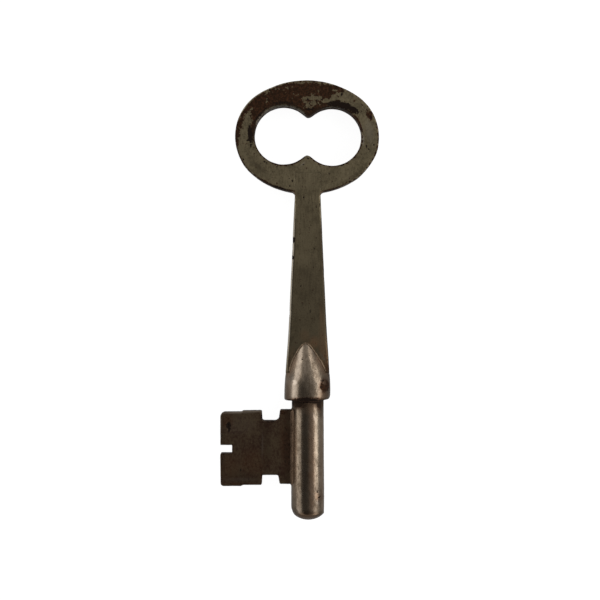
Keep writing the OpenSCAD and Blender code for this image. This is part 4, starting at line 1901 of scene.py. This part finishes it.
@dataclass
class Brazing:
    """The braze that shows at the four joints."""

    collar: Collar = field(default_factory=Collar)
    bead_r: float = 0.2
    bead_step: float = 0.15
    bead_sides: int = 12
    lump: float = 0.8
    bead_sunk: float = 0.02
    bead_rise: float = 0.25
    apex: float = 11.5
    post_r: float = 3.225
    ring_r: float = 0.32
    ring_depth: float = 0.15
    ring_segments: int = 96
    bit_half: float = 1.3
    root_top: float = -2.05
    root_foot: float = -17.0
    climb: float = 0.65
    top_spread: float = 0.6
    face_spread: float = 0.5
    foot_spread: float = 1.3
    root_corner: float = 0.4
    root_spacing: float = 0.2
    root_bury: float = 0.6
    root_inset: float = 0.3
    root_depth: float = 0.9
    hollow: float = 0.06
    fillet_r: float = 0.85
    shank_half: float = 2.575
    rim_x: float = -0.052
    rim_y: float = 60.224
    rim_r: float = 18.4
    bow_half: float = 2.0
    bow_round: float = 0.24
    bury: float = 0.3

    def nose_beads(self, joinery: Joinery, finish: Finish) -> None:
        """A bead along the nose's pointed edge, on both faces of the shank.

        Args:
            joinery: The shared trees.
            finish: The material.
        """
        seat, level = self.collar.slot_floor + self.bead_rise, self.collar.face
        steps = 40
        runs = []
        for face in Face:
            run = []
            for i in range(2 * steps + 1):
                t = i / steps - 1.0
                y = seat + (self.apex - seat) * (1 - t * t)
                x = math.copysign(self.collar.half_at(y, level), t) + self.collar.lean_at(y)
                run.append((x, y, face.value * (level - self.bead_sunk)))
            runs.append(run)
        piece = wire_piece("nose_bead", *runs)
        lengths = {"Bead_Radius": self.bead_r * MM, "Step": self.bead_step * MM}
        sizes = {**lengths, "Lump_Size": self.lump / MM}
        joinery.bead.shape(piece, finish, Sides=self.bead_sides, **sizes)
        face_outwards(piece)
        hand_over(piece, "braze", "nose_braze")

    def shoulder_ring(self, joinery: Joinery, finish: Finish) -> None:
        """A hollow fillet in the corner between the collar's shoulder and the post.

        Args:
            joinery: The shared trees.
            finish: The material.
        """
        r, deep = self.ring_r, self.ring_depth
        arc = [math.radians(90.0 * i / 6) for i in range(7)]
        section = [(self.post_r - deep, deep), (self.post_r + r, deep)]
        section += [(self.post_r + r * (1 - math.sin(a)), -r * (1 - math.cos(a))) for a in arc]
        section += [(self.post_r - deep, -r), (self.post_r - deep, deep)]
        piece = joinery.turned("shoulder_ring", section, finish, self.ring_segments)
        hand_over(piece, "braze", "shoulder_braze")

    def root_fillet(self, finish: Finish) -> None:
        """A hollow fillet all round the bit's root, from its faces on to the post.

        Args:
            finish: The material.
        """
        ends, half, corner = (self.root_top, self.root_foot), self.bit_half, self.root_corner
        places = [(ends[0], half), (ends[1], half), (ends[1], -half), (ends[0], -half)]
        loop = OutlineMaker(self.root_spacing).rounded([Corner(y, z, corner) for y, z in places])
        ways, steps = inward(loop), 8
        vertices: Points = []
        for p, way in zip(loop, ways):
            out = -way.normalized()
            most = self.top_spread if out.x > 0 else self.foot_spread
            spread = self.face_spread + (most - self.face_spread) * abs(out.x) ** 2
            foot = p + out * spread
            foot_x = -math.sqrt(max(self.post_r**2 - foot.y**2, 0.5))
            wall_x = -math.sqrt(self.post_r**2 - p.y**2)
            start = Vector((wall_x - self.climb, p.x, p.y))
            pull = Vector((wall_x, p.x, p.y)) + Vector((0.0, out.x, out.y)) * self.hollow
            end = Vector((foot_x, foot.x, foot.y))
            buried = Vector((foot_x + self.root_bury, foot.x, foot.y))
            inset = p - out * self.root_inset
            inside = Vector((wall_x - self.climb, *inset))
            deep = Vector((wall_x + self.root_depth, *inset))
            row = [inside]
            for i in range(steps + 1):
                t = i / steps
                row.append(start * (1 - t) ** 2 + pull * 2 * t * (1 - t) + end * t * t)
            vertices += [tuple(v) for v in [*row, buried, deep]]
        across = steps + 4
        faces = []
        for i in range(len(loop)):
            for j in range(across):
                a, b = i * across, (i + 1) % len(loop) * across
                k = (j + 1) % across
                faces.append((a + j, b + j, b + k, a + k))
        piece = solid_piece("root_fillet", vertices, faces)
        piece.data.materials.append(finish)
        piece.data.set_sharp_from_angle(angle=SHARP)
        hand_over(piece, "braze", "bit_braze")

    def bow_fillets(self, finish: Finish) -> None:
        """The two hollow fillets in the corners between the shank's edges and the bow's rim.

        Args:
            finish: The material.
        """
        half, rounding, bury = self.bow_half, self.bow_round, self.bury
        angles = [math.radians(90 - 22.5 * i) for i in range(5)]
        levels = [(-half + rounding * (1 - math.sin(a)), rounding * (1 - math.cos(a))) for a in angles]
        levels += [(-z, inset) for z, inset in reversed(levels)]
        vertices: Points = []
        faces: Faces = []
        steps = 10
        for side in Side:
            edge_x = side.value * self.shank_half
            arc_x = edge_x + side.value * self.fillet_r
            arc_y = self.rim_y - math.sqrt((self.rim_r + self.fillet_r) ** 2 - (arc_x - self.rim_x) ** 2)
            start = math.atan2(0.0, edge_x - arc_x)
            end = math.atan2(self.rim_y - arc_y, self.rim_x - arc_x)
            first = len(vertices)
            for z, inset in levels:
                vertices.append((edge_x - side.value * bury, arc_y + self.fillet_r + bury, z))
                vertices.append((edge_x - side.value * bury, arc_y, z))
                for i in range(steps + 1):
                    angle = start + (end - start) * i / steps
                    r = self.fillet_r + inset
                    vertices.append((arc_x + r * math.cos(angle), arc_y + r * math.sin(angle), z))
            across = steps + 3
            for level in range(len(levels) - 1):
                for i in range(across):
                    a, b = first + level * across + i, first + level * across + (i + 1) % across
                    faces.append((a, b, b + across, a + across))
            top = first + (len(levels) - 1) * across
            faces += [(first, first + i, first + i + 1) for i in range(1, across - 1)]
            faces += [(top, top + i + 1, top + i) for i in range(1, across - 1)]
        piece = solid_piece("bow_fillets", vertices, faces)
        piece.data.materials.append(finish)
        piece.data.set_sharp_from_angle(angle=SHARP)
        hand_over(piece, "braze", "bow_braze")

    def build(self, joinery: Joinery, finish: Finish, dirty_and_shaded: Finish, rubbed_and_highlights: Finish) -> None:
        """Makes all the braze.

        Args:
            joinery: The shared trees.
            finish: The material where hands reach it.
            dirty_and_shaded: The material in the corner under the shoulder: darker braze and painted
                shade.
            rubbed_and_highlights: The material where the nose's seam is rubbed bright, which also paints
                the highlight along the seam.
        """
        self.nose_beads(joinery, rubbed_and_highlights)
        self.shoulder_ring(joinery, dirty_and_shaded)
        self.root_fillet(finish)
        self.bow_fillets(finish)


@dataclass
class Studio:
    """A pale floor, soft light from both sides and a camera straight above the key."""

    distance: float = 280.0
    middle_x: float = -1.56
    middle_y: float = 20.23
    field_w: float = 121.9
    sensor: float = 36.0
    floor_size: float = 3000.0
    floor_z: float = -4.71
    floor_slope: float = 0.0417
    floor_y: float = 1.5
    table_glow: float = 0.94
    strip_distance: float = 480.0
    left_w: float = 300.0
    right_w: float = 260.0
    strip_l: float = 2000.0
    strip_y: float = 200.0
    left_rise: float = 25.0
    left_level: float = 0.88
    right_rise: float = 29.5
    right_level: float = 1.57
    cap_lean_x: float = -20.0
    cap_lean_y: float = -26.0
    below_level: float = 0.3
    horizon: Band = (-0.06, 0.1)
    sky: tuple[Band, ...] = (
        (-1.0, 0.3), (0.0, 0.45), (0.3, 0.5), (0.55, 0.42), (0.72, 0.34),
        (0.79, 0.28), (0.84, 0.13), (0.9, 0.07), (1.0, 0.05),
    )

    def camera(self) -> None:
        """Sets the camera that looks straight down, with the bow up."""
        data = bpy.data.cameras.new("camera")
        data.sensor_width = self.sensor
        data.lens = self.sensor * self.distance / self.field_w
        data.clip_start, data.clip_end = 0.01, 10.0
        camera = stand("camera", data)
        camera.location = Vector((self.middle_x, self.middle_y, self.distance)) * MM
        bpy.context.scene.camera = camera

    def floor(self) -> None:
        """Lays the floor so that the collar and the bow's end rest on it."""
        half = self.floor_size / 2
        corners = []
        for x, y in ((-half, -half), (half, -half), (half, half), (-half, half)):
            corners.append(Vector((x, y, self.floor_z + (y - self.floor_y) * self.floor_slope)) * MM)
        mesh = bpy.data.meshes.new("floor")
        mesh.from_pydata(corners, [], [(0, 1, 2, 3)])
        floor = stand("floor", mesh)
        bench = MaterialBench("light_table")
        looks = {"Base Color": (0.25, 0.25, 0.25, 1.0), "Roughness": 1.0, "Specular IOR Level": 0.0}
        looks |= {"Emission Color": (1.0, 1.0, 1.0, 1.0), "Emission Strength": self.table_glow}
        for label, value in looks.items():
            bench.shader.inputs[label].default_value = value
        mesh.materials.append(bench.material)
        floor.visible_glossy = False
        floor.visible_diffuse = False

    def strip(self, side: Side, width: float, rise: float, radiance: float) -> None:
        """Hangs one long soft light beside the key.

        Args:
            side: Which side it hangs on.
            width: Its width, in millimetres.
            rise: How high it stands over the floor, in degrees.
            radiance: How bright it looks.
        """
        way = Vector((side.value * math.cos(math.radians(rise)), 0.0, math.sin(math.radians(rise))))
        middle = Vector((0.0, self.strip_y, 0.0))
        name = f"{side.name.lower()}_strip"
        data = bpy.data.lights.new(name, "AREA")
        data.shape = "RECTANGLE"
        data.size, data.size_y = width * MM, self.strip_l * MM
        data.energy = radiance * math.pi * data.size * data.size_y
        light = stand(name, data)
        light.location = (middle + way * self.strip_distance) * MM
        light.rotation_euler = way.to_track_quat("Z", "X").to_euler()

    def surround(self) -> None:
        """A soft surround with a dark cap, which leans to the left and to the tip, and a dim ground."""
        world = bpy.data.worlds.new("surround")
        world.use_nodes = True
        bench = NodeBench(world.node_tree)
        way = bench.add("ShaderNodeTexCoord").outputs["Generated"]
        lean = [math.tan(math.radians(a)) for a in (self.cap_lean_x, self.cap_lean_y)]
        cap = Vector((*lean, 1.0)).normalized()
        toward = bench.add("ShaderNodeVectorMath", {0: way, 1: cap}, operation="DOT_PRODUCT")
        nearness = bench.add("ShaderNodeMapRange", {"Value": toward.outputs["Value"], "From Min": -1.0})
        ramp = bench.add("ShaderNodeValToRGB", {0: nearness.outputs[0]})
        stops = ramp.color_ramp.elements
        stops.remove(stops[1])
        for i, (place, level) in enumerate(self.sky):
            stop = stops.new((place + 1.0) / 2) if i else stops[0]
            stop.color = (level, level, level, 1.0)
        height = bench.add("ShaderNodeSeparateXYZ", {0: way}).outputs[2]
        links = {"Value": height, "From Min": self.horizon[0], "From Max": self.horizon[1]}
        above = bench.add("ShaderNodeMapRange", links).outputs[0]
        ground = (self.below_level, self.below_level, self.below_level, 1.0)
        mixed = bench.blend(above, ground, ramp.outputs[0])
        bench.tree.links.new(mixed, bench.tree.nodes["Background"].inputs["Color"])
        bpy.context.scene.world = world

    def build(self) -> None:
        """Sets up the studio."""
        bpy.context.scene.view_settings.view_transform = "Standard"
        self.camera()
        self.floor()
        self.surround()
        self.strip(Side.LEFT, self.left_w, self.left_rise, self.left_level)
        self.strip(Side.RIGHT, self.right_w, self.right_rise, self.right_level)


def main() -> None:
    """Builds the studio and the key in order, and reports each piece."""
    logging.basicConfig(level=logging.INFO, format="%(name)s %(message)s")
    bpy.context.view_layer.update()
    Studio().build()
    joinery = Joinery()
    flat_steel = WornSteel(
        "worn_flat_steel",
        dark=(0.130, 0.104, 0.061, 1.0),
        light=(0.297, 0.241, 0.145, 1.0),
        worn=(0.52, 0.46, 0.37, 1.0),
        grain=Grain.ALONG,
    )
    bow_steel = replace(flat_steel, name="worn_bow_steel", grain=Grain.EVEN).material()
    round_steel = WornSteel(
        "burnished_round_steel",
        dark=(0.155, 0.116, 0.080, 1.0),
        light=(0.365, 0.290, 0.215, 1.0),
        worn=(0.56, 0.47, 0.38, 1.0),
        grain=Grain.ROUND,
        smooth=0.17,
        dull=0.34,
        edge_wear=0.0,
        stain_and_shade_colour=(0.034, 0.020, 0.012, 1.0),
        brown_colour=(0.42, 0.27, 0.17, 1.0),
        swing=0.9,
        blush=1.4,
        relief=0.022,
    ).material()
    bit_steel = WornSteel(
        "browned_bit_steel",
        dark=(0.046, 0.023, 0.015, 1.0),
        light=(0.118, 0.083, 0.048, 1.0),
        worn=(0.26, 0.21, 0.165, 1.0),
        grain=Grain.EVEN,
        smooth=0.48,
        dull=0.66,
        edge_wear=0.3,
        swing=1.3,
        blush=0.8,
    ).material()
    braze = OldBraze("old_braze", (0.055, 0.032, 0.019, 1.0), (0.25, 0.165, 0.105, 1.0))
    # The lighter braze on the nose's seam is wear and painted highlight.
    rubbed_and_highlight_braze = OldBraze("rubbed_and_highlight_braze", (0.10, 0.065, 0.04, 1.0), (0.45, 0.33, 0.22, 1.0))
    # The darker braze in the corner under the shoulder is dirt and painted shade.
    dirty_and_shaded_braze = OldBraze("dirty_and_shaded_braze", (0.025, 0.013, 0.008, 1.0), (0.07, 0.036, 0.022, 1.0))
    Bow().build(joinery, bow_steel)
    Shank().build(joinery, flat_steel.material())
    Collar().build(joinery, round_steel)
    Post().build(joinery, round_steel)
    Bit().build(joinery, bit_steel)
    Brazing().build(joinery, braze.material(), dirty_and_shaded_braze.material(), rubbed_and_highlight_braze.material())


if __name__ == "__main__":
    main()
